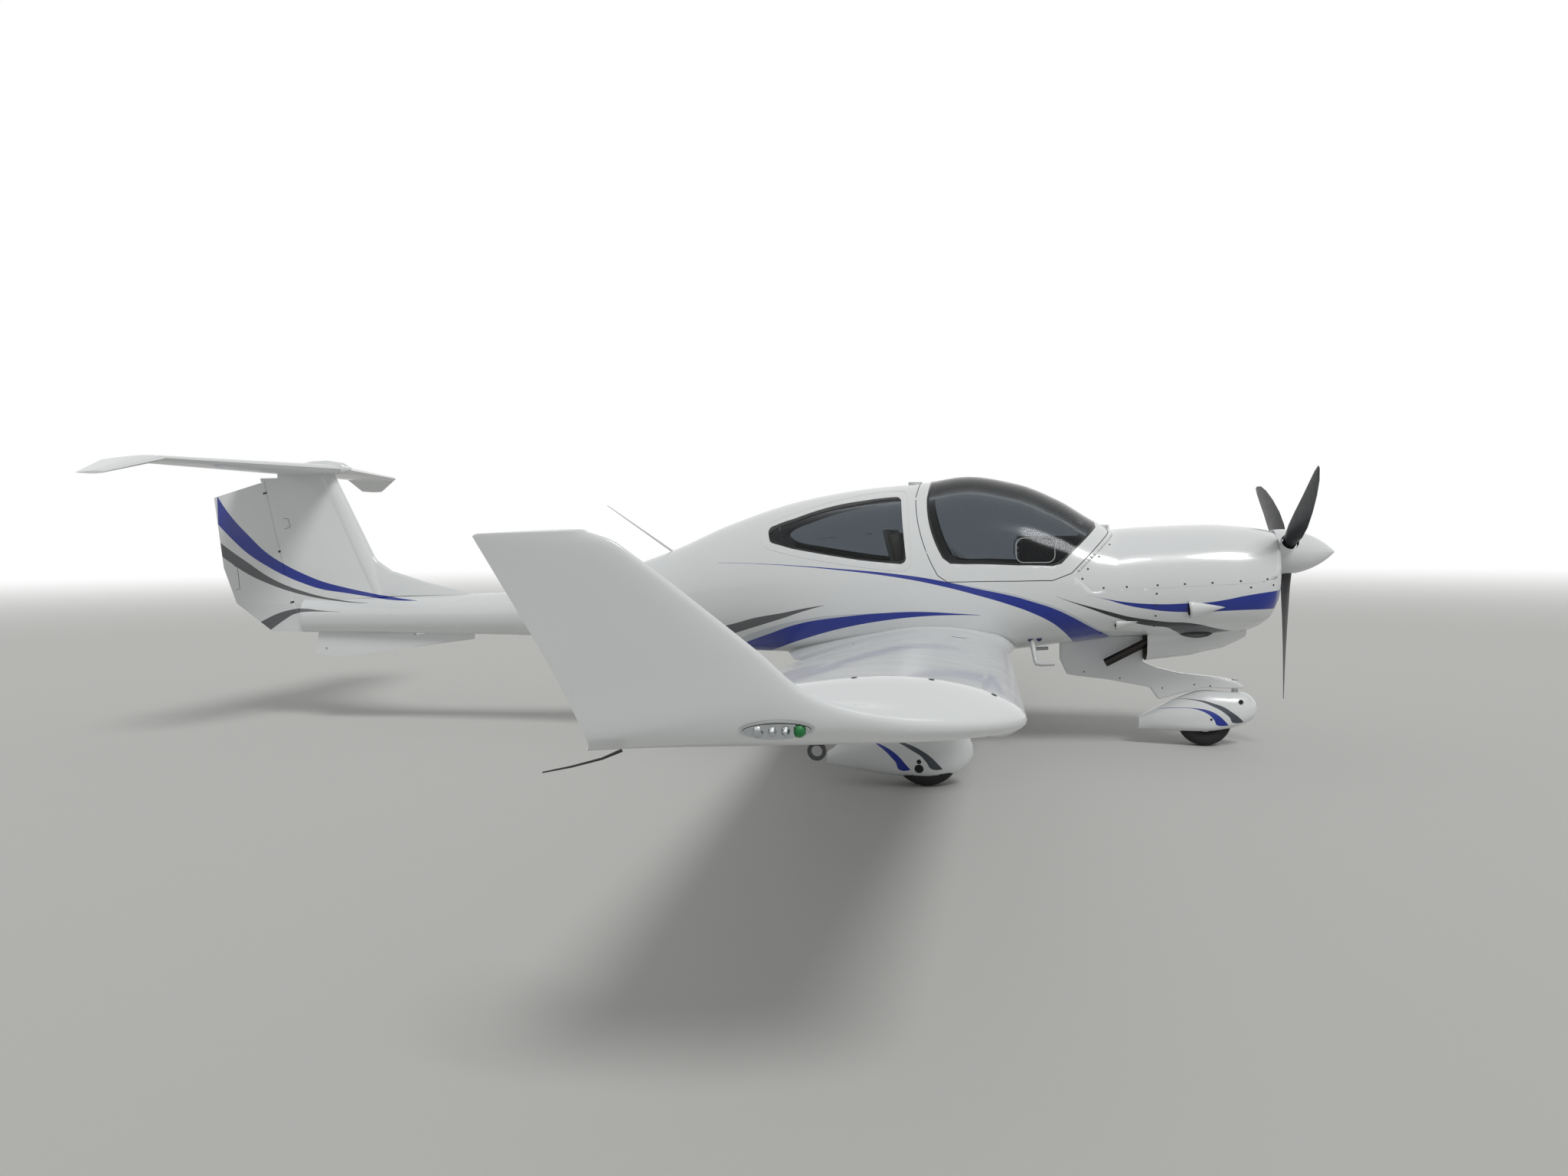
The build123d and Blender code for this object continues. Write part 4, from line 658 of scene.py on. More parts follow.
# The painted step round each rear window, one bead a side
window_rim = [(2.664, 1.262), (2.694, 1.560), (2.712, 1.660), (2.760, 1.690), (2.900, 1.684),
              (3.050, 1.660), (3.240, 1.618), (3.450, 1.556), (3.600, 1.502), (3.652, 1.470),
              (3.680, 1.420), (3.668, 1.360), (3.620, 1.316), (3.400, 1.262), (3.160, 1.222),
              (2.950, 1.192), (2.760, 1.172), (2.690, 1.186)]
for side, name, body in ((1, "left", body_of["rear_door_panel"]), (-1, "right", "airframe")):
    bead = bead_on_hull(rounded_line(window_rim), side, radius=0.0022, segments=6)
    piece_of(f"window_bead_{name}", [bead], plain_paint, body)

# Sawn and polished acrylic: a pale, glassy line round each storm window
hatch_edge = finish_of("polished_acrylic_edge", "#A9ADAB", roughness=0.25)
hatch_outline = round_box(1.775, 2.013, 1.222, 1.374, radius=0.045)
hatches = [bead_on_hull(hatch_outline, side, radius=0.0028, segments=8) for side in (1, -1)]
piece_of("storm_window_edges", hatches, hatch_edge, body_of["canopy_glass"])

# Cabin. Carpeted floor and tunnel, a black panel with two screens under a coaming, and
# cast sticks with rubber grips; the seats are moulded shells with stuffed leather pads.

# Cut pile: flat grey with a soft, uneven nap; its tufts are 1.1 mm apart
carpet = finish_of("grey_cut_pile_carpet", "#55575A", roughness=0.95, grain=1.1, shade=0.6,
                   bump_height=0.002)
# Powder coat: black with a fine orange peel (1.4 mm) that spreads each highlight
panel_black = finish_of("matt_black_powder_coat", "#17181A", roughness=0.6, grain=1.4,
                        bump_height=0.0003)
# Moulded rubber: a warm black with a dull sheen and a 2 mm pebble
grip_rubber = finish_of("moulded_grip_rubber", "#1C1D1E", roughness=0.65, grain=2.0,
                        bump_height=0.0003)
# Painted laminate: off-white and half glossy, with slow clouds 33 mm across
shell_white = finish_of("seat_shell_laminate", "#B9B6AC", roughness=0.45, grain=33.0, shade=0.93)


def painted(node, material):
    """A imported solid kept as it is, in a finish of its own."""
    nodes[node].data.materials.clear()
    nodes[node].data.materials.append(material)


for node, material in (
    ("cabin_floor", carpet), ("instrument_panel", panel_black), ("control_sticks", grip_rubber),
    ("front_seat_shells", shell_white), ("rear_seat_back", shell_white),
):
    painted(node, material)


# The station of the instrument panel's aft face
panel_face = 1.9742


def slab(station, y_from, y_to, low, high, depth, radius=0.012):
    """A rounded plate that stands aft of the panel's face, with a softened front edge."""
    outline = round_box(y_from, y_to, low, high, radius, 4)
    count = len(outline)
    middle_y, middle_z = (sum(column) / count for column in zip(*outline))
    points = []
    for out, share in ((0.0, 1.0), (depth * 0.7, 1.0), (depth, 0.985)):
        for y, z in outline:
            points.append(Vector((half_length - station - out, middle_y + (y - middle_y) * share,
                                  middle_z + (z - middle_z) * share)))
    return points, wrapped(2, count) + [tuple(range(2 * count, 3 * count))]


def lofted(rings):
    """Vertices and faces of a closed skin through equal rings of points, capped at both ends."""
    count = len(rings[0])
    points = [point for ring in rings for point in ring]
    faces = wrapped(len(rings) - 1, count)
    faces.append(tuple(range(count))[::-1])
    faces.append(tuple(range((len(rings) - 1) * count, len(rings) * count)))
    return points, faces


def coaming_ring(station, foot=1.20, crown=1.372, inset=0.04, steps=24):
    """The rounded section of the coaming at a station, kept clear of the skin."""
    headroom = 0.08
    columns = list(zip(*body_rows))
    top = float(fair_line(columns[0], columns[1], screen_foot)(np.array([station]))[0])
    rise = min(crown, top - headroom) - foot
    wide = on_hull(station, foot, 1)[0].y - inset
    ring = []
    for step in range(steps + 1):
        turn = math.pi * (step / steps - 0.5)
        height = foot + rise * max(math.cos(turn), 0.0) ** 0.6
        reach = on_hull(station, height, 1)[0].y - inset
        across = min(wide * abs(math.sin(turn)) ** 0.6, reach)
        ring.append(Vector((half_length - station, math.copysign(across, turn), height)))
    return ring


def knob(y, height, root, tip, radii, segments):
    """A turned knob or gauge rim that stands on the panel, from root to tip aft of its face."""
    path = [Vector((half_length - panel_face - depth, y, height)) for depth in (root, tip)]
    return tube(path, radii, segments)


# Padded vinyl: the blackest thing in the cabin, matt so that it doesn't mirror in the screen
coaming_vinyl = finish_of("matt_black_coaming_vinyl", "#141517", roughness=0.8, grain=2.0,
                          bump_height=0.0004)
# Bonded cover glass of a dark display: blue black and sharply glossy
screen_glass = finish_of("dark_screen_glass", "#0A0D12", roughness=0.08, grain=330.0)
# Moulded ABS: charcoal with the fine texture of its tool (1.7 mm)
bezel_grey = finish_of("moulded_bezel_plastic", "#2B2C2E", roughness=0.5, grain=1.7)
bezels, screens, knobs = [], [], []
coaming = lofted([coaming_ring(station) for station in np.linspace(1.60, 1.955, 10)])
piece_of("panel_coaming", [coaming], coaming_vinyl, "airframe", crease=50.0)
bezel_half, screen_half, knob_reach, screen_out = 0.15, 0.125, 0.138, 0.0155
for middle in (0.235, -0.10):
    bezels.append(slab(panel_face, middle - bezel_half, middle + bezel_half, 1.150, 1.345,
                       depth=0.016))
    screens.append(slab(panel_face + screen_out, middle - screen_half, middle + screen_half,
                        1.168, 1.328, depth=0.003, radius=0.004))
    for height in (1.17, 1.21, 1.29, 1.325):
        for y in (middle - knob_reach, middle + knob_reach):
            knobs.append(knob(y, height, 0.014, 0.028, radii=[0.007, 0.006], segments=12))
for y in (-0.32, -0.39):
    for height in (1.19, 1.28):
        knobs.append(knob(y, height, 0.0, 0.012, radii=[0.033, 0.031], segments=24))
switch_count, first_switch, switch_pitch, switch_width = 9, 0.36, 0.03, 0.018
for k in range(switch_count):
    y = first_switch - k * switch_pitch
    bezels.append(slab(panel_face, y, y + switch_width, 1.085, 1.115, depth=0.010,
                       radius=0.004))
piece_of("panel_bezels_and_switches", bezels, bezel_grey, "airframe")
piece_of("panel_screens", screens, screen_glass, "airframe")
piece_of("panel_knobs", knobs, bezel_grey, "airframe")

# Dyed leather: warm beige with soft blotches 143 mm across and a half-gloss, and pebbles that
# are 1 mm on the hide but drawn 2.4 mm wide, or they wouldn't show
pebble_size, blotch_size = 0.0024, 0.143
leather, tree, shader = blank("pale_aniline_leather")
where = add(tree, "TexCoord").outputs["Object"]
grain = add(tree, "TexVoronoi", {"Vector": where, "Scale": 1 / pebble_size})
blotch = add(tree, "TexNoise", {"Vector": where, "Scale": 1 / blotch_size, "Detail": 3.0})
mix = add(tree, "Mix", {0: blotch.outputs[0], 6: linear("#B9AD98"), 7: linear("#D3C8B4")},
          data_type="RGBA")
tree.links.new(mix.outputs[2], shader.inputs["Base Color"])
shader.inputs["Roughness"].default_value = 0.48
shader.inputs["IOR"].default_value = 1.5
crinkle = add(tree, "Bump", {"Height": grain.outputs["Distance"], "Strength": 0.35,
                             "Distance": 0.0006})
tree.links.new(crinkle.outputs[0], shader.inputs["Normal"])


def settled(piece):
    """A piece's mesh with its modifiers applied, and the modifiers taken off."""
    graph = bpy.context.evaluated_depsgraph_get()
    mesh = bpy.data.meshes.new_from_object(piece.evaluated_get(graph))
    piece.modifiers.clear()
    return mesh


def softened(piece, voxel_size, passes, factor):
    """A piece made anew of even small faces, with its edges worn round."""
    remesh = piece.modifiers.new("voxels", "REMESH")
    remesh.mode = "VOXEL"
    remesh.voxel_size = voxel_size
    rounding = piece.modifiers.new("rounding", "SMOOTH")
    rounding.iterations = passes
    rounding.factor = factor
    return settled(piece)


def places(mesh):
    """A mesh's points as rows of an array."""
    flat = np.zeros(len(mesh.vertices) * 3)
    mesh.vertices.foreach_get("co", flat)
    return flat.reshape(-1, 3)


def stuffed(node, name, most_swell, frames=14):
    """A leather pad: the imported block, rounded, blown up as cloth, its travel capped."""
    mesh = nodes[node].data.copy()
    mesh.name = name
    mesh.materials.clear()
    pad = bpy.data.objects.new(name, mesh)
    bpy.context.scene.collection.objects.link(pad)
    pad.data = softened(pad, voxel_size=0.013, passes=5, factor=0.6)
    start = places(pad.data)
    cloth = pad.modifiers.new("stuffing", "CLOTH")
    cloth.settings.use_pressure = True
    cloth.settings.uniform_pressure_force = 4.0
    cloth.settings.quality = 4
    cloth.settings.tension_stiffness = cloth.settings.compression_stiffness = 25.0
    cloth.settings.effector_weights.gravity = 0.0
    cloth.collision_settings.use_collision = False
    cloth.point_cache.frame_start, cloth.point_cache.frame_end = 1, frames
    for frame_number in range(1, frames + 1):
        bpy.context.scene.frame_set(frame_number)
    blown = settled(pad)
    bpy.context.scene.frame_set(1)
    travel = places(blown) - start
    length = np.linalg.norm(travel, axis=1, keepdims=True) + 1e-9
    start = start + travel * np.minimum(1.0, most_swell / length)
    pad.data = blown
    pad.data.vertices.foreach_set("co", start.ravel())
    pad.data.update()
    finer = pad.modifiers.new("finer", "SUBSURF")
    finer.levels = finer.render_levels = 1
    pad.data = settled(pad)
    pad.data.materials.clear()
    pad.data.materials.append(leather)
    pad.data.shade_smooth()
    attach(pad, body_of[node])
    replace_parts(pad, node)


for place in ("front_seat", "front_back", "rear_seat", "rear_back"):
    stuffed(f"{place}_cushions", f"{place}_pads", most_swell=0.024)

# Engine and exhaust. The engine is a cast block; the exhaust is a stainless pipe, blued
# and sooted by heat, that leaves the cooling scoop under the belly.

# Sand-cast aluminium: grey and rough, with a 5 mm skin like an orange's
cast_metal = finish_of("cast_crankcase_metal", "#7C7E80", roughness=0.55, metallic=0.8, grain=5.0,
                       bump_height=0.0006)
# Stainless tube after hours of heat: brown black, in patches 25 mm across
hot_steel = finish_of("heat_darkened_stainless", "#3A3735", roughness=0.45, metallic=0.85,
                      grain=25.0, shade=0.6)
painted("engine_block", cast_metal)
painted("exhaust_pipe", hot_steel)

# Propeller. An alloy hub on a backplate with three composite blades in a satin dark lacquer,
# behind a spun spinner painted white.

# Turned aluminium: mid grey with a clean, soft shine
hub_alloy = finish_of("machined_hub_alloy", "#9FA2A5", roughness=0.35, metallic=0.9)
# Sprayed lacquer over carbon cloth: nearly black, satin, with a slow cloudiness of 40 mm
blade_lacquer = finish_of("satin_blade_lacquer", "#2A2B2E", roughness=0.38, grain=40.0, shade=0.9)
painted("spinner", plain_paint)
painted("propeller_hub", hub_alloy)
painted("propeller_blades", blade_lacquer)

# Wings. Moulded panels with a drooped leading edge; fillets carry their form into the body.
# The surfaces hang on brackets, and the tips sweep up into winglets in one smooth blend.
for node in ("wing_left", "wing_right", "flap_left", "flap_right", "aileron_left",
             "aileron_right", "wing_fillets"):
    painted(node, plain_paint)
# Forged steel, its plating gone dull: dark, with rubbed patches 6.7 mm across
painted("tie_down_rings", finish_of("dulled_ring_steel", "#4E5052", roughness=0.45,
                                    metallic=0.85, grain=6.7))
# Columns: leading edge (station, y, height), trailing edge (station, y, height), tilt in
# degrees, thickness share, camber share; the first row only gives the sweep its start
winglet_rows = [
    ((2.055, 5.200, 0.994), (2.974, 5.200, 0.954), 0.0, 0.138, 0.045),
    ((2.055, 5.450, 1.0125), (2.954, 5.450, 0.9732), 0.0, 0.137, 0.045),
    ((2.140, 5.580, 1.026), (2.962, 5.585, 0.962), 20.0, 0.130, 0.030),
    ((2.330, 5.658, 1.050), (2.950, 5.662, 0.962), 48.0, 0.125, 0.015),
    ((2.472, 5.700, 1.092), (2.932, 5.700, 0.985), 68.0, 0.105, 0.010),
    ((2.572, 5.735, 1.180), (2.968, 5.728, 1.085), 76.0, 0.090, 0.010),
    ((2.806, 5.795, 1.372), (3.102, 5.797, 1.364), 78.0, 0.086, 0.010),
    ((2.838, 5.801, 1.395), (3.115, 5.804, 1.390), 78.0, 0.082, 0.010),
    ((2.886, 5.806, 1.412), (3.122, 5.808, 1.405), 78.0, 0.070, 0.010),
]


def section_ring(le, te, tilt, thickness, camber, top_at=0.4, count=28):
    """The points round an aerofoil from its leading to its trailing edge and back, its upper
    side turned by the tilt and its mean line highest at top_at of the chord."""
    chord = (te - le).length
    aft = (te - le).normalized()
    turn = math.radians(tilt)
    up = Vector((0, -math.sin(turn), math.cos(turn)))
    up = (up - aft * up.dot(aft)).normalized()
    ring = []
    for side, order in ((1, range(count + 1)), (-1, range(count, 0, -1))):
        for k in order:
            share = (1 - math.cos(math.pi * k / count)) / 2
            if share < top_at:
                mean = camber / top_at ** 2 * (2 * top_at * share - share ** 2)
            else:
                mean = camber / (1 - top_at) ** 2 * (
                    1 - 2 * top_at + 2 * top_at * share - share ** 2)
            # The half thickness of the common four-digit sections
            half = 5 * thickness * (
                0.2969 * math.sqrt(share) - 0.1260 * share - 0.3516 * share ** 2
                + 0.2843 * share ** 3 - 0.1015 * share ** 4)
            ring.append(le + aft * (share * chord) + up * ((mean + side * half) * chord))
    return ring


def winglet_skin(side):
    """A winglet lofted through its rows, with a rounded tip."""
    reach = [0.0]
    for before, after in zip(winglet_rows, winglet_rows[1:]):
        reach.append(reach[-1] + (Vector(after[0]) - Vector(before[0])).length)
    flat = [(*le, *te, *form) for le, te, *form in winglet_rows]
    lines = [fair_line(reach, column) for column in zip(*flat)]
    rings = []
    for share in np.linspace(reach[1], reach[-1], 56):
        s1, y1, z1, s2, y2, z2, *form = [float(line(np.array([share]))[0]) for line in lines]
        rings.append(section_ring(Vector((half_length - s1, y1, z1)),
                                  Vector((half_length - s2, y2, z2)), *form))
    edge = rings[-1]
    middle = sum(edge, Vector()) / len(edge)
    for rise, share in ((0.003, 0.97), (0.005, 0.90)):
        lift = Vector((0, rise * 0.2, rise))
        rings.append([middle + (point - middle) * share + lift for point in edge])
    if side < 0:
        rings = [[Vector((p.x, -p.y, p.z)) for p in ring] for ring in rings]
    return lofted(rings)


winglets = {}
for side, name in ((1, "left"), (-1, "right")):
    winglets[side] = piece_of(f"winglet_skin_{name}", [winglet_skin(side)], plain_paint,
                              "airframe", crease=35.0)
    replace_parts(winglets[side], f"winglet_{name}")

# Moulded clear acrylic: glassy, the lamps behind it barely shifted, as through a thin cover
lens_clear, tree, shader = blank("clear_lens_acrylic")
shader.inputs["Base Color"].default_value = linear("#F2F5F6")
shader.inputs["Roughness"].default_value = 0.02
shader.inputs["IOR"].default_value = 1.25
shader.inputs["Transmission Weight"].default_value = 1.0
# Polished and coated metal: the brightest mirror on the aircraft
reflector = finish_of("bright_lamp_reflector", "#D8DADC", roughness=0.15, metallic=1.0)
# Dyed acrylic caps over the position lamps: red to the left, green to the right
filters = {1: finish_of("red_lamp_filter", "#B01818", roughness=0.3),
           -1: finish_of("green_lamp_filter", "#147A3C", roughness=0.3)}


def on_surface(piece, station, y, height):
    """The point of a piece's surface nearest to a place, and the way out there."""
    return piece.closest_point_on_mesh(Vector((half_length - station, y, height)))[1:3]


aft = Vector((-1, 0, 0))
wick_path = [(2.860, 5.700, 0.972), (2.900, 5.706, 0.955), (2.960, 5.722, 0.940),
             (3.015, 5.738, 0.930)]
lenses, trays, lamps, wicks, tip_screws, fuel_caps = [], [], {}, [], [], []
for side in (1, -1):
    point, out = on_surface(winglets[side], 2.540, side * 5.72, 1.010)
    trays.append(dome(point + out * 0.0005, out, length=0.150, width=0.046, height=0.004,
                      rings=3, segments=36, along=aft))
    lenses.append(dome(point + out * 0.002, out, length=0.138, width=0.038, height=0.017,
                       rings=7, segments=40, along=aft))
    lamps[side] = [dome(point + aft * shift + out * 0.003, out, length, width, height=0.010,
                        rings=5, along=aft)
                   for shift, length, width in ((-0.018, 0.018, 0.018), (0.008, 0.018, 0.018),
                                                (0.036, 0.024, 0.024), (-0.046, 0.024, 0.028))]
    wicks.append(tube([Vector((half_length - s, side * y, z)) for s, y, z in wick_path],
                      radius=[0.0035, 0.0026, 0.0022, 0.0015], segments=8))
for side, wing in ((1, "wing_left"), (-1, "wing_right")):
    for station in (2.10, 2.25, 2.42, 2.60, 2.78):
        tip_screws.append(dome(*on_surface(winglets[side], station, side * 5.468, 1.12),
                               screw_size, screw_size, 0.002, rings=2, segments=12))
    point, out = on_surface(nodes[wing], 2.28, side * 1.85, 1.2)
    fuel_caps.append(dome(point, out, length=0.086, width=0.086, height=0.003, rings=3,
                          segments=36))
    fuel_caps.append(dome(point + out * 0.002, out, length=0.050, width=0.016, height=0.004,
                          rings=3, segments=24))
piece_of("tip_screws", tip_screws, screw_steel, "airframe")
piece_of("fuel_caps", fuel_caps, reflector, "airframe")
piece_of("tip_lamp_trays", trays, reflector, "airframe")
for side, name in ((1, "left"), (-1, "right")):
    piece_of(f"tip_lamps_{name}", lamps[side][:3], reflector, "airframe")
    piece_of(f"tip_filter_{name}", lamps[side][3:], filters[side], "airframe")
piece_of("tip_lenses", lenses, lens_clear, "airframe")
piece_of("static_wicks", wicks, grip_rubber, "airframe")

# Tail. The fin grows out of the boom and carries the tailplane on its top, with a raised
# fairing over the joint; a fixed fin below guards the boom's end.
painted("vertical_fin", swept_paint)
painted("rudder", swept_paint)
for node in ("tailplane", "elevator", "tailplane_fairing", "ventral_fin"):
    painted(node, plain_paint)


def keel_toe():
    """The front of the fin under the boom: its foot slopes up ahead into the boom."""
    toe_front, toe_back = (5.930, 0.655), (6.425, 0.590)
    half_thick, taper_from, taper = 0.0137, 5.90, 0.30
    rings = []
    for station in np.linspace(toe_front[0], toe_back[0] + 0.002, 16):
        low = float(np.interp(station, *zip(toe_front, toe_back)))
        half = half_thick * min((station - taper_from) / taper, 1.0)
        rings.append([Vector((half_length - station, half * y, low + rise)) for y, rise in
                      ((1, 0.090), (1, 0.003), (0.8, 0), (-0.8, 0), (-1, 0.003), (-1, 0.090))])
    return lofted(rings)


def on_side(node, station, height, side):
    """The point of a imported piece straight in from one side."""
    start = Vector((half_length - station, side * 0.6, height))
    return nodes[node].ray_cast(start, Vector((0, -side, 0)))[1]


piece_of("ventral_fin_toe", [keel_toe()], plain_paint, "airframe")
# The shade in a narrow gap: dark grey, without a shine
seam_shade = finish_of("shadowed_seam", "#3A3C3E", roughness=0.8)
for node, name, line in (
    ("rudder", "trim_tab_seam", [(7.900, 1.203), (7.867, 1.191), (7.858, 1.100), (7.855, 1.020),
                                 (7.890, 1.018)]),
    ("vertical_fin", "fin_hinge_notch", [(7.440, 1.562), (7.400, 1.555), (7.385, 1.495),
                                         (7.430, 1.480)]),
):
    seams = [tube([on_side(node, s, z, side) for s, z in line], radius=0.0018, segments=6)
             for side in (1, -1)]
    piece_of(name, seams, seam_shade, body_of[node])

# Main gear. Sprung blades in white paint with moulded spats over the wheels; cast alloy
# rims carry ribbed aircraft tyres.
painted("main_gear_legs", plain_paint)
# Columns as in the body's table
main_spat_rows = [
    (2.258, 0.226, 0.170, 0.014, 0.198, 2.0, 2.0),
    (2.290, 0.306, 0.118, 0.058, 0.200, 2.1, 2.2),
    (2.380, 0.396, 0.068, 0.100, 0.200, 2.2, 3.2),
    (2.515, 0.448, 0.056, 0.118, 0.193, 2.3, 3.8),
    (2.700, 0.412, 0.058, 0.112, 0.198, 2.2, 3.4),
    (2.900, 0.300, 0.078, 0.072, 0.180, 2.2, 2.4),
    (3.075, 0.170, 0.104, 0.018, 0.140, 2.2, 2.2),
]
wheel_half_track = 1.485


def spat_skin(rows, middle, side, wheel_station, tyre_radius, half_mouth, steps=70, around=72):
    """A spat's skin lofted through its table, left open below where the wheel goes through."""
    columns = list(zip(*rows))
    lines = [fair_line(columns[0], column) for column in columns[1:]]
    points, faces = [], []
    for share in np.linspace(0.0, 1.0, steps + 1):
        # Rings stand closer together at the ends, where the form turns fastest
        eased = share - math.sin(2 * math.pi * share) * 0.08
        station = columns[0][0] + (columns[0][-1] - columns[0][0]) * eased
        top, bottom, width, waist, full_up, full_low = [float(line(np.array([station]))[0])
                                                        for line in lines]
        for k in range(around):
            turn = 2 * math.pi * k / around
            upper = math.cos(turn) > 0
            full, tall = (full_up, top - waist) if upper else (full_low, bottom - waist)
            across = math.copysign(width * abs(math.sin(turn)) ** (2 / full), math.sin(turn))
            points.append(Vector((half_length - station, side * (middle + across),
                                  waist + tall * abs(math.cos(turn)) ** (2 / full))))
    for i in range(steps):
        for k in range(around):
            j = (k + 1) % around
            face = (i * around + k, i * around + j, (i + 1) * around + j, (i + 1) * around + k)
            centre = sum((points[index] for index in face), Vector()) / 4
            # The mouth has the outline of the tyre's own section, with room round it
            reach = math.hypot(half_length - centre.x - wheel_station, centre.z - tyre_radius)
            share = min(max((reach - tyre_radius * 0.72) / (tyre_radius * 0.28 + 0.012), 0.0), 1.0)
            in_mouth = abs(abs(centre.y) - middle) < half_mouth * math.sqrt(1 - share ** 2)
            if not (in_mouth and centre.z < tyre_radius):
                faces.append(face)
    faces.append(tuple(range(around)))
    faces.append(tuple(range(steps * around, (steps + 1) * around)))
    return points, faces


main_blue = (
    [(2.596, 0.105), (2.626, 0.140), (2.656, 0.174), (2.685, 0.199), (2.740, 0.232),
     (2.810, 0.256)],
    [(2.596, 0.104), (2.660, 0.104), (2.677, 0.143), (2.707, 0.176), (2.728, 0.198),
     (2.810, 0.255)])
main_dark = (
    [(2.420, 0.112), (2.446, 0.142), (2.487, 0.183), (2.533, 0.214), (2.600, 0.246),
     (2.700, 0.272)],
    [(2.420, 0.111), (2.478, 0.111), (2.508, 0.149), (2.542, 0.186), (2.584, 0.211),
     (2.640, 0.243), (2.700, 0.271)])
spat_dark = "#3E444C"
spat_wall = 0.005
main_wheel_station, main_tyre_radius = 2.515, 0.193
main_spat_paint = gelcoat("white_gelcoat_with_main_spat_sweeps",
                          [(royal_blue, *main_blue), (spat_dark, *main_dark)])
main_spat_skins = [spat_skin(main_spat_rows, wheel_half_track, side, main_wheel_station,
                             main_tyre_radius, 0.084) for side in (1, -1)]
main_spats = piece_of("main_spat_mouldings", main_spat_skins, main_spat_paint, "airframe")
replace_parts(walled(main_spats, spat_wall), "main_spats")
# Moulded plastic plugs: deep blue, half glossy
cap_blue = finish_of("blue_cap_plastic", "#1B2F5E", roughness=0.4)
holes, caps = [], []
for side in (1, -1):
    for station, height, size in ((2.549, 0.112, 0.050), (2.549, 0.152, 0.026)):
        holes.append(dome(*skin_point(main_spat_rows, station, height, side, wheel_half_track),
                          size, size, 0.0015, rings=2, segments=28))
    for station, height in ((1.919, 0.728), (1.866, 0.732)):
        point, out = on_hull(station, height, side)
        caps.append(dome(point, Vector((0, side, 0.1)), length=0.036, width=0.036,
                         height=0.006, segments=24))
# The spats' access holes are black patches of painted shade
piece_of("main_spat_hole_shade", holes, painted_hole_shade, "airframe")
piece_of("drain_caps", caps, cap_blue, "airframe")


def arc_points(a, b, c, count):
    """Points on the round arc from a to c through b, in a plane."""
    ax, ay, bx, by, cx, cy = *a, *b, *c
    aa, bb, cc = ax * ax + ay * ay, bx * bx + by * by, cx * cx + cy * cy
    twice = 2 * (ax * (by - cy) + bx * (cy - ay) + cx * (ay - by))
    ux = (aa * (by - cy) + bb * (cy - ay) + cc * (ay - by)) / twice
    uy = (aa * (cx - bx) + bb * (ax - cx) + cc * (bx - ax)) / twice
    radius = math.hypot(ax - ux, ay - uy)
    start, middle, end = (math.atan2(p[1] - uy, p[0] - ux) for p in (a, b, c))
    full = (end - start) % (2 * math.pi)
    if (middle - start) % (2 * math.pi) > full:
        full -= 2 * math.pi
    turns = [start + full * k / count for k in range(count + 1)]
    return [(ux + radius * math.cos(turn), uy + radius * math.sin(turn)) for turn in turns]


def tyre_skin(centre, radius, width, rim_radius, segments=96):
    """A ribbed tyre: its section with five grooves, turned about the axle."""
    half_groove, groove_depth = 0.0022, 0.0045
    grooves = (-0.5, -0.25, 0.0, 0.25, 0.5)
    half = width / 2
    shoulder = (half * 0.72, radius * 0.94)
    bead = (half * 0.74, rim_radius)
    bulge = (half, (radius + rim_radius) / 2)
    wall = arc_points(bead, bulge, shoulder, 14)
    tread = arc_points(shoulder, (0.0, radius), (-shoulder[0], shoulder[1]), 60)
    grooved = [(p, r - groove_depth * any(abs(p - half * at) < half_groove for at in grooves))
               for p, r in tread[1:-1]]
    section = wall + grooved + [(-p, r) for p, r in wall[::-1]]
    points, faces = [], []
    for k in range(segments):
        turn = 2 * math.pi * k / segments
        points += [centre + Vector((r * math.sin(turn), p, r * math.cos(turn)))
                   for p, r in section]
    count = len(section)
    for k in range(segments):
        j = (k + 1) % segments
        faces += [(k * count + i, k * count + (i + 1) % count, j * count + (i + 1) % count,
                   j * count + i) for i in range(count)]
    return points, faces


# Vulcanised rubber: a soft black, greyed by dust, with a 4 mm unevenness from wear
rubber = finish_of("vulcanised_tyre_rubber", "#1D1D1E", roughness=0.78, grain=4.0, shade=0.75,
                   bump_height=0.0005)
# Die-cast aluminium under lacquer: light grey metal with a mild sheen and 8 mm clouds
alloy = finish_of("cast_wheel_alloy", "#B9BCBF", roughness=0.38, metallic=0.9, grain=8.3)
nose_wheel_station, nose_tyre_radius = 0.790, 0.172
for node, y, station, radius, width, rim in (
    ("main_tyre_left", wheel_half_track, main_wheel_station, main_tyre_radius, 0.154, 0.088),
    ("main_tyre_right", -wheel_half_track, main_wheel_station, main_tyre_radius, 0.154, 0.088),
    ("nose_tyre", 0.0, nose_wheel_station, nose_tyre_radius, 0.124, 0.076),
):
    skin = tyre_skin(Vector((half_length - station, y, radius)), radius, width, rim)
    tyre = piece_of(f"{node}_ribbed", [skin], rubber, body_of[node], crease=25.0)
    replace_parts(tyre, node)
for node in ("main_rim_left", "main_rim_right", "nose_rim"):
    painted(node, alloy)

# Nose gear. A sprung tube inside a deep moulded fairing leads to a castoring fork, whose
# spat swivels with the wheel; a tow eye and an axle cap show on each side of it.

# Stoved enamel on steel: a plain, greyer white than the gelcoat's, half glossy
gear_enamel = finish_of("white_gear_enamel", "#CDCFCF", roughness=0.4)
painted("nose_leg", gear_enamel)
painted("nose_fork", gear_enamel)
fairing = worked("nose_leg_fairing", "nose_leg_fairing_moulding", plain_paint)
fairing.data = softened(fairing, voxel_size=0.006, passes=14, factor=0.5)
fairing.data.materials.clear()
fairing.data.materials.append(plain_paint)
fairing.data.shade_smooth()
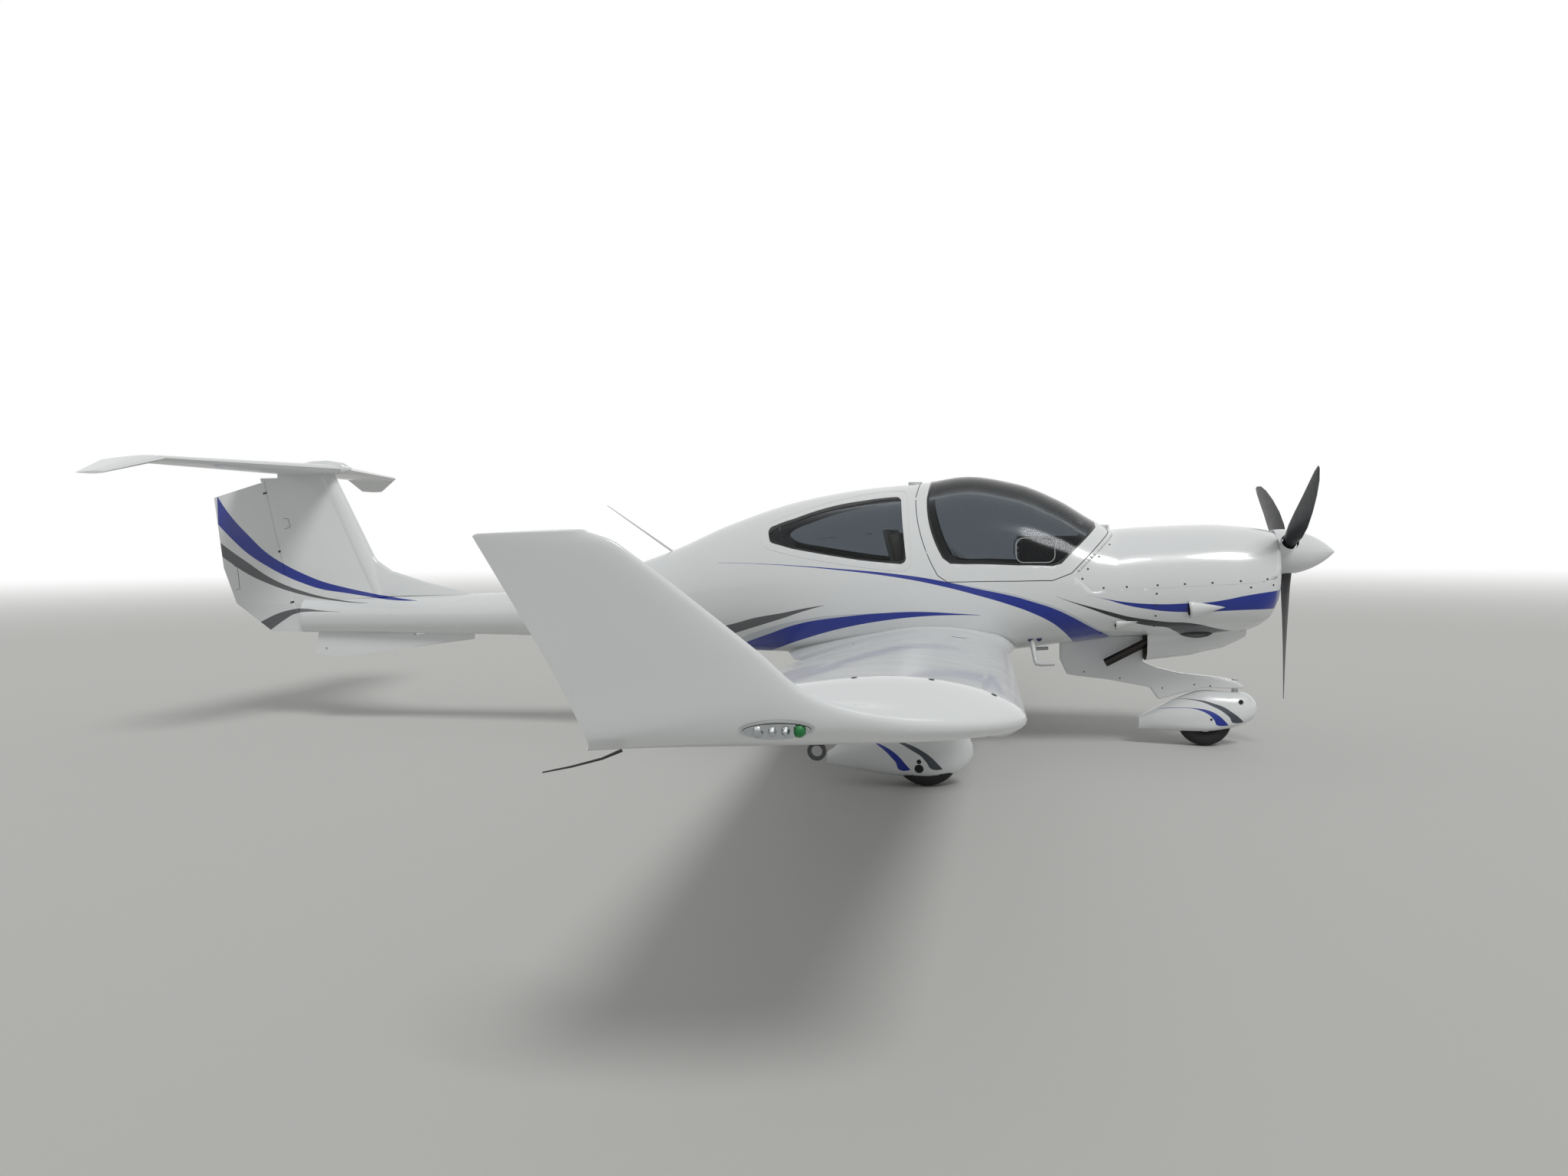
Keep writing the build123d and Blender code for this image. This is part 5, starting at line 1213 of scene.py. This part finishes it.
# Columns as in the body's table
nose_spat_rows = [
    (0.468, 0.286, 0.204, 0.020, 0.245, 2.0, 2.0),
    (0.496, 0.326, 0.176, 0.052, 0.238, 2.1, 2.1),
    (0.545, 0.355, 0.150, 0.084, 0.225, 2.2, 2.3),
    (0.640, 0.360, 0.120, 0.106, 0.200, 2.3, 3.0),
    (0.790, 0.369, 0.100, 0.112, 0.172, 2.3, 3.6),
    (0.930, 0.330, 0.096, 0.098, 0.174, 2.3, 3.2),
    (1.080, 0.254, 0.100, 0.064, 0.168, 2.2, 2.6),
    (1.205, 0.182, 0.100, 0.022, 0.142, 2.2, 2.2),
]
nose_spat_dark = (
    [(0.559, 0.173), (0.600, 0.212), (0.636, 0.238), (0.677, 0.265), (0.710, 0.279),
     (0.750, 0.291), (0.794, 0.304), (0.860, 0.312), (0.910, 0.314), (0.970, 0.307)],
    [(0.559, 0.168), (0.628, 0.168), (0.648, 0.201), (0.678, 0.228), (0.713, 0.252),
     (0.750, 0.270), (0.795, 0.290), (0.846, 0.304), (0.910, 0.311), (0.970, 0.306)])
nose_spat_blue = (
    [(0.655, 0.150), (0.684, 0.185), (0.714, 0.212), (0.750, 0.234), (0.796, 0.250),
     (0.866, 0.258), (0.910, 0.259), (0.970, 0.257), (1.030, 0.251), (1.080, 0.243)],
    [(0.655, 0.149), (0.723, 0.149), (0.743, 0.181), (0.767, 0.209), (0.796, 0.229),
     (0.831, 0.244), (0.866, 0.253), (0.913, 0.256), (0.970, 0.254), (1.080, 0.242)])
nose_spat_paint = gelcoat("white_gelcoat_with_nose_spat_sweeps",
                          [(spat_dark, *nose_spat_dark), (royal_blue, *nose_spat_blue)])
nose_spat_skin = spat_skin(nose_spat_rows, 0.0, 1, nose_wheel_station, nose_tyre_radius, 0.068)
nose_spat = piece_of("nose_spat_moulding", [nose_spat_skin], nose_spat_paint,
                     body_of["nose_spat"])
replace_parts(walled(nose_spat, spat_wall), "nose_spat")
eye_radius, eye_steps = 0.014, 24
fairing_half = 0.0435
eyes, holes, fasteners = [], [], []
for side in (1, -1):
    point, out = skin_point(nose_spat_rows, 0.576, 0.300, side)
    along = Vector((1, 0, 0))
    along = (along - out * along.dot(out)).normalized()
    across = out.cross(along)
    turns = [2 * math.pi * k / eye_steps for k in range(eye_steps)]
    ring = [point + (along * math.cos(turn) + across * math.sin(turn)) * eye_radius
            for turn in turns]
    eyes.append(tube(ring, radius=0.003, segments=8, closed=True))
    holes.append(dome(point, out, length=0.024, width=0.024, height=0.001, rings=2,
                      along=along))
    point, out = skin_point(nose_spat_rows, 0.763, 0.187, side)
    holes.append(dome(point, out, length=0.016, width=0.016, height=0.001, rings=2,
                      segments=16, along=along))
    for station, height in ((1.060, 0.380), (0.860, 0.405), (0.760, 0.398), (1.560, 0.480),
                            (1.330, 0.440)):
        point = Vector((half_length - station, side * fairing_half, height))
        fasteners.append(dome(point, Vector((0, side, 0)), length=0.012, width=0.012,
                              height=0.0018, rings=2, segments=12))
piece_of("tow_eyes", eyes, screw_steel, body_of["nose_spat"])
# The holes for the tow eye and the axle are black patches of painted shade
piece_of("nose_spat_hole_shade", holes, painted_hole_shade, body_of["nose_spat"])
piece_of("fairing_screws", fasteners, screw_steel, "airframe")

# Boarding steps and aerials. Bent steel tubes in white enamel, a raked glass-fibre whip and
# a low moulded puck on the roof.
bend_reach, bend_cut = 0.03, 0.006
step_path = [(1.914, 0.398, 0.742), (1.886, 0.500, 0.576), (1.772, 0.505, 0.582)]
treads = []
for side in (1, -1):
    root, knee, toe = [Vector((half_length - s, side * y, z)) for s, y, z in step_path]
    bend = [knee + (root - knee).normalized() * bend_reach,
            knee + (root + toe - 2 * knee).normalized() * bend_cut,
            knee + (toe - knee).normalized() * bend_reach]
    treads.append(tube([root] + bend + [toe], radius=[0.017, 0.015, 0.014, 0.014, 0.013],
                       segments=16))
steps = piece_of("boarding_step_tubes", treads, gear_enamel, "airframe")
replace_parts(steps, "boarding_steps")
# Moulded glass-filled plastic: off-white, half glossy
painted("aerials", finish_of("moulded_aerial_plastic", "#D5D6D4", roughness=0.4))

# Floor, light and camera. A pale floor that runs out to white, one broad soft sun from
# ahead on the right, and the sky around as fill; the camera stands as it did for the photo.
floor_mesh = bpy.data.meshes.new("studio_floor")
floor_reach = 90
floor_mesh.from_pydata([(x * floor_reach, y * floor_reach, 0)
                        for x, y in ((-1, -1), (1, -1), (1, 1), (-1, 1))], [], [(0, 1, 2, 3)])
floor = bpy.data.objects.new("studio_floor", floor_mesh)
bpy.context.scene.collection.objects.link(floor)
# Smooth concrete: pale grey and matt, running out to white between 12 and 45 m away
floor_material, tree, shader = blank("pale_floor")
shader.inputs["Base Color"].default_value = linear("#C6C6C3")
shader.inputs["Roughness"].default_value = 0.85
place = add(tree, "TexCoord").outputs["Object"]
distance = add(tree, "VectorMath", {0: place}, operation="LENGTH")
far = add(tree, "MapRange", {0: distance.outputs["Value"], 1: 12.0, 2: 45.0, 3: 0.0, 4: 1.0},
          interpolation_type="SMOOTHSTEP")
seen = add(tree, "LightPath").outputs["Is Camera Ray"]
share = add(tree, "Math", {0: far.outputs[0], 1: seen}, operation="MULTIPLY")
white = add(tree, "Emission", {"Color": (1, 1, 1, 1), "Strength": 1.0})
mixed = add(tree, "MixShader", {0: share.outputs[0], 1: shader.outputs[0], 2: white.outputs[0]})
tree.links.new(mixed.outputs[0], tree.nodes["Material Output"].inputs["Surface"])
floor_mesh.materials.append(floor_material)

world = bpy.data.worlds.new("studio")
bpy.context.scene.world = world
world.use_nodes = True
tree = world.node_tree
tree.nodes.clear()
path = add(tree, "LightPath")
direct = add(tree, "Math", {0: path.outputs["Is Camera Ray"], 1: path.outputs["Is Glossy Ray"]},
             operation="MAXIMUM")
direct = add(tree, "Math", {0: direct.outputs[0], 1: path.outputs["Is Transmission Ray"]},
             operation="MAXIMUM")
level = add(tree, "MapRange", {0: direct.outputs[0], 1: 0.0, 2: 1.0, 3: 0.40, 4: 1.0})
backdrop = add(tree, "Background", {"Color": (1, 1, 1, 1), "Strength": level.outputs[0]})
add(tree, "OutputWorld", {"Surface": backdrop.outputs[0]})

sun_data = bpy.data.lights.new("soft_sun", "SUN")
sun_data.energy = 1.35
sun_data.angle = math.radians(18)
sun = bpy.data.objects.new("soft_sun", sun_data)
sun.rotation_mode = "QUATERNION"
sun_shines_to = Vector((-0.35, 0.55, -0.75))
sun.rotation_quaternion = sun_shines_to.to_track_quat("-Z", "Y")
bpy.context.scene.collection.objects.link(sun)

# The camera's place, aim and lens were fitted to the photograph at the aircraft's real size
camera_place = Vector((1.919, -7.896, 1.402))
camera_yaw, camera_pitch, camera_roll = (math.radians(a) for a in (-10.674, -2.617, -0.441))
ahead = Vector((math.sin(camera_yaw) * math.cos(camera_pitch),
                math.cos(camera_yaw) * math.cos(camera_pitch), math.sin(camera_pitch)))
level_right = Vector((math.cos(camera_yaw), -math.sin(camera_yaw), 0))
level_up = level_right.cross(ahead)
right = level_right * math.cos(camera_roll) + level_up * math.sin(camera_roll)
up = level_up * math.cos(camera_roll) - level_right * math.sin(camera_roll)
camera_data = bpy.data.cameras.new("camera")
camera_data.lens = 26.35
camera_data.sensor_width = 36.0
camera_data.clip_end = 500.0
camera = bpy.data.objects.new("camera", camera_data)
camera.matrix_world = Matrix((
    (right.x, up.x, -ahead.x, camera_place.x),
    (right.y, up.y, -ahead.y, camera_place.y),
    (right.z, up.z, -ahead.z, camera_place.z),
    (0, 0, 0, 1)))
bpy.context.scene.collection.objects.link(camera)
bpy.context.scene.camera = camera
bpy.context.scene.view_settings.view_transform = "Standard"
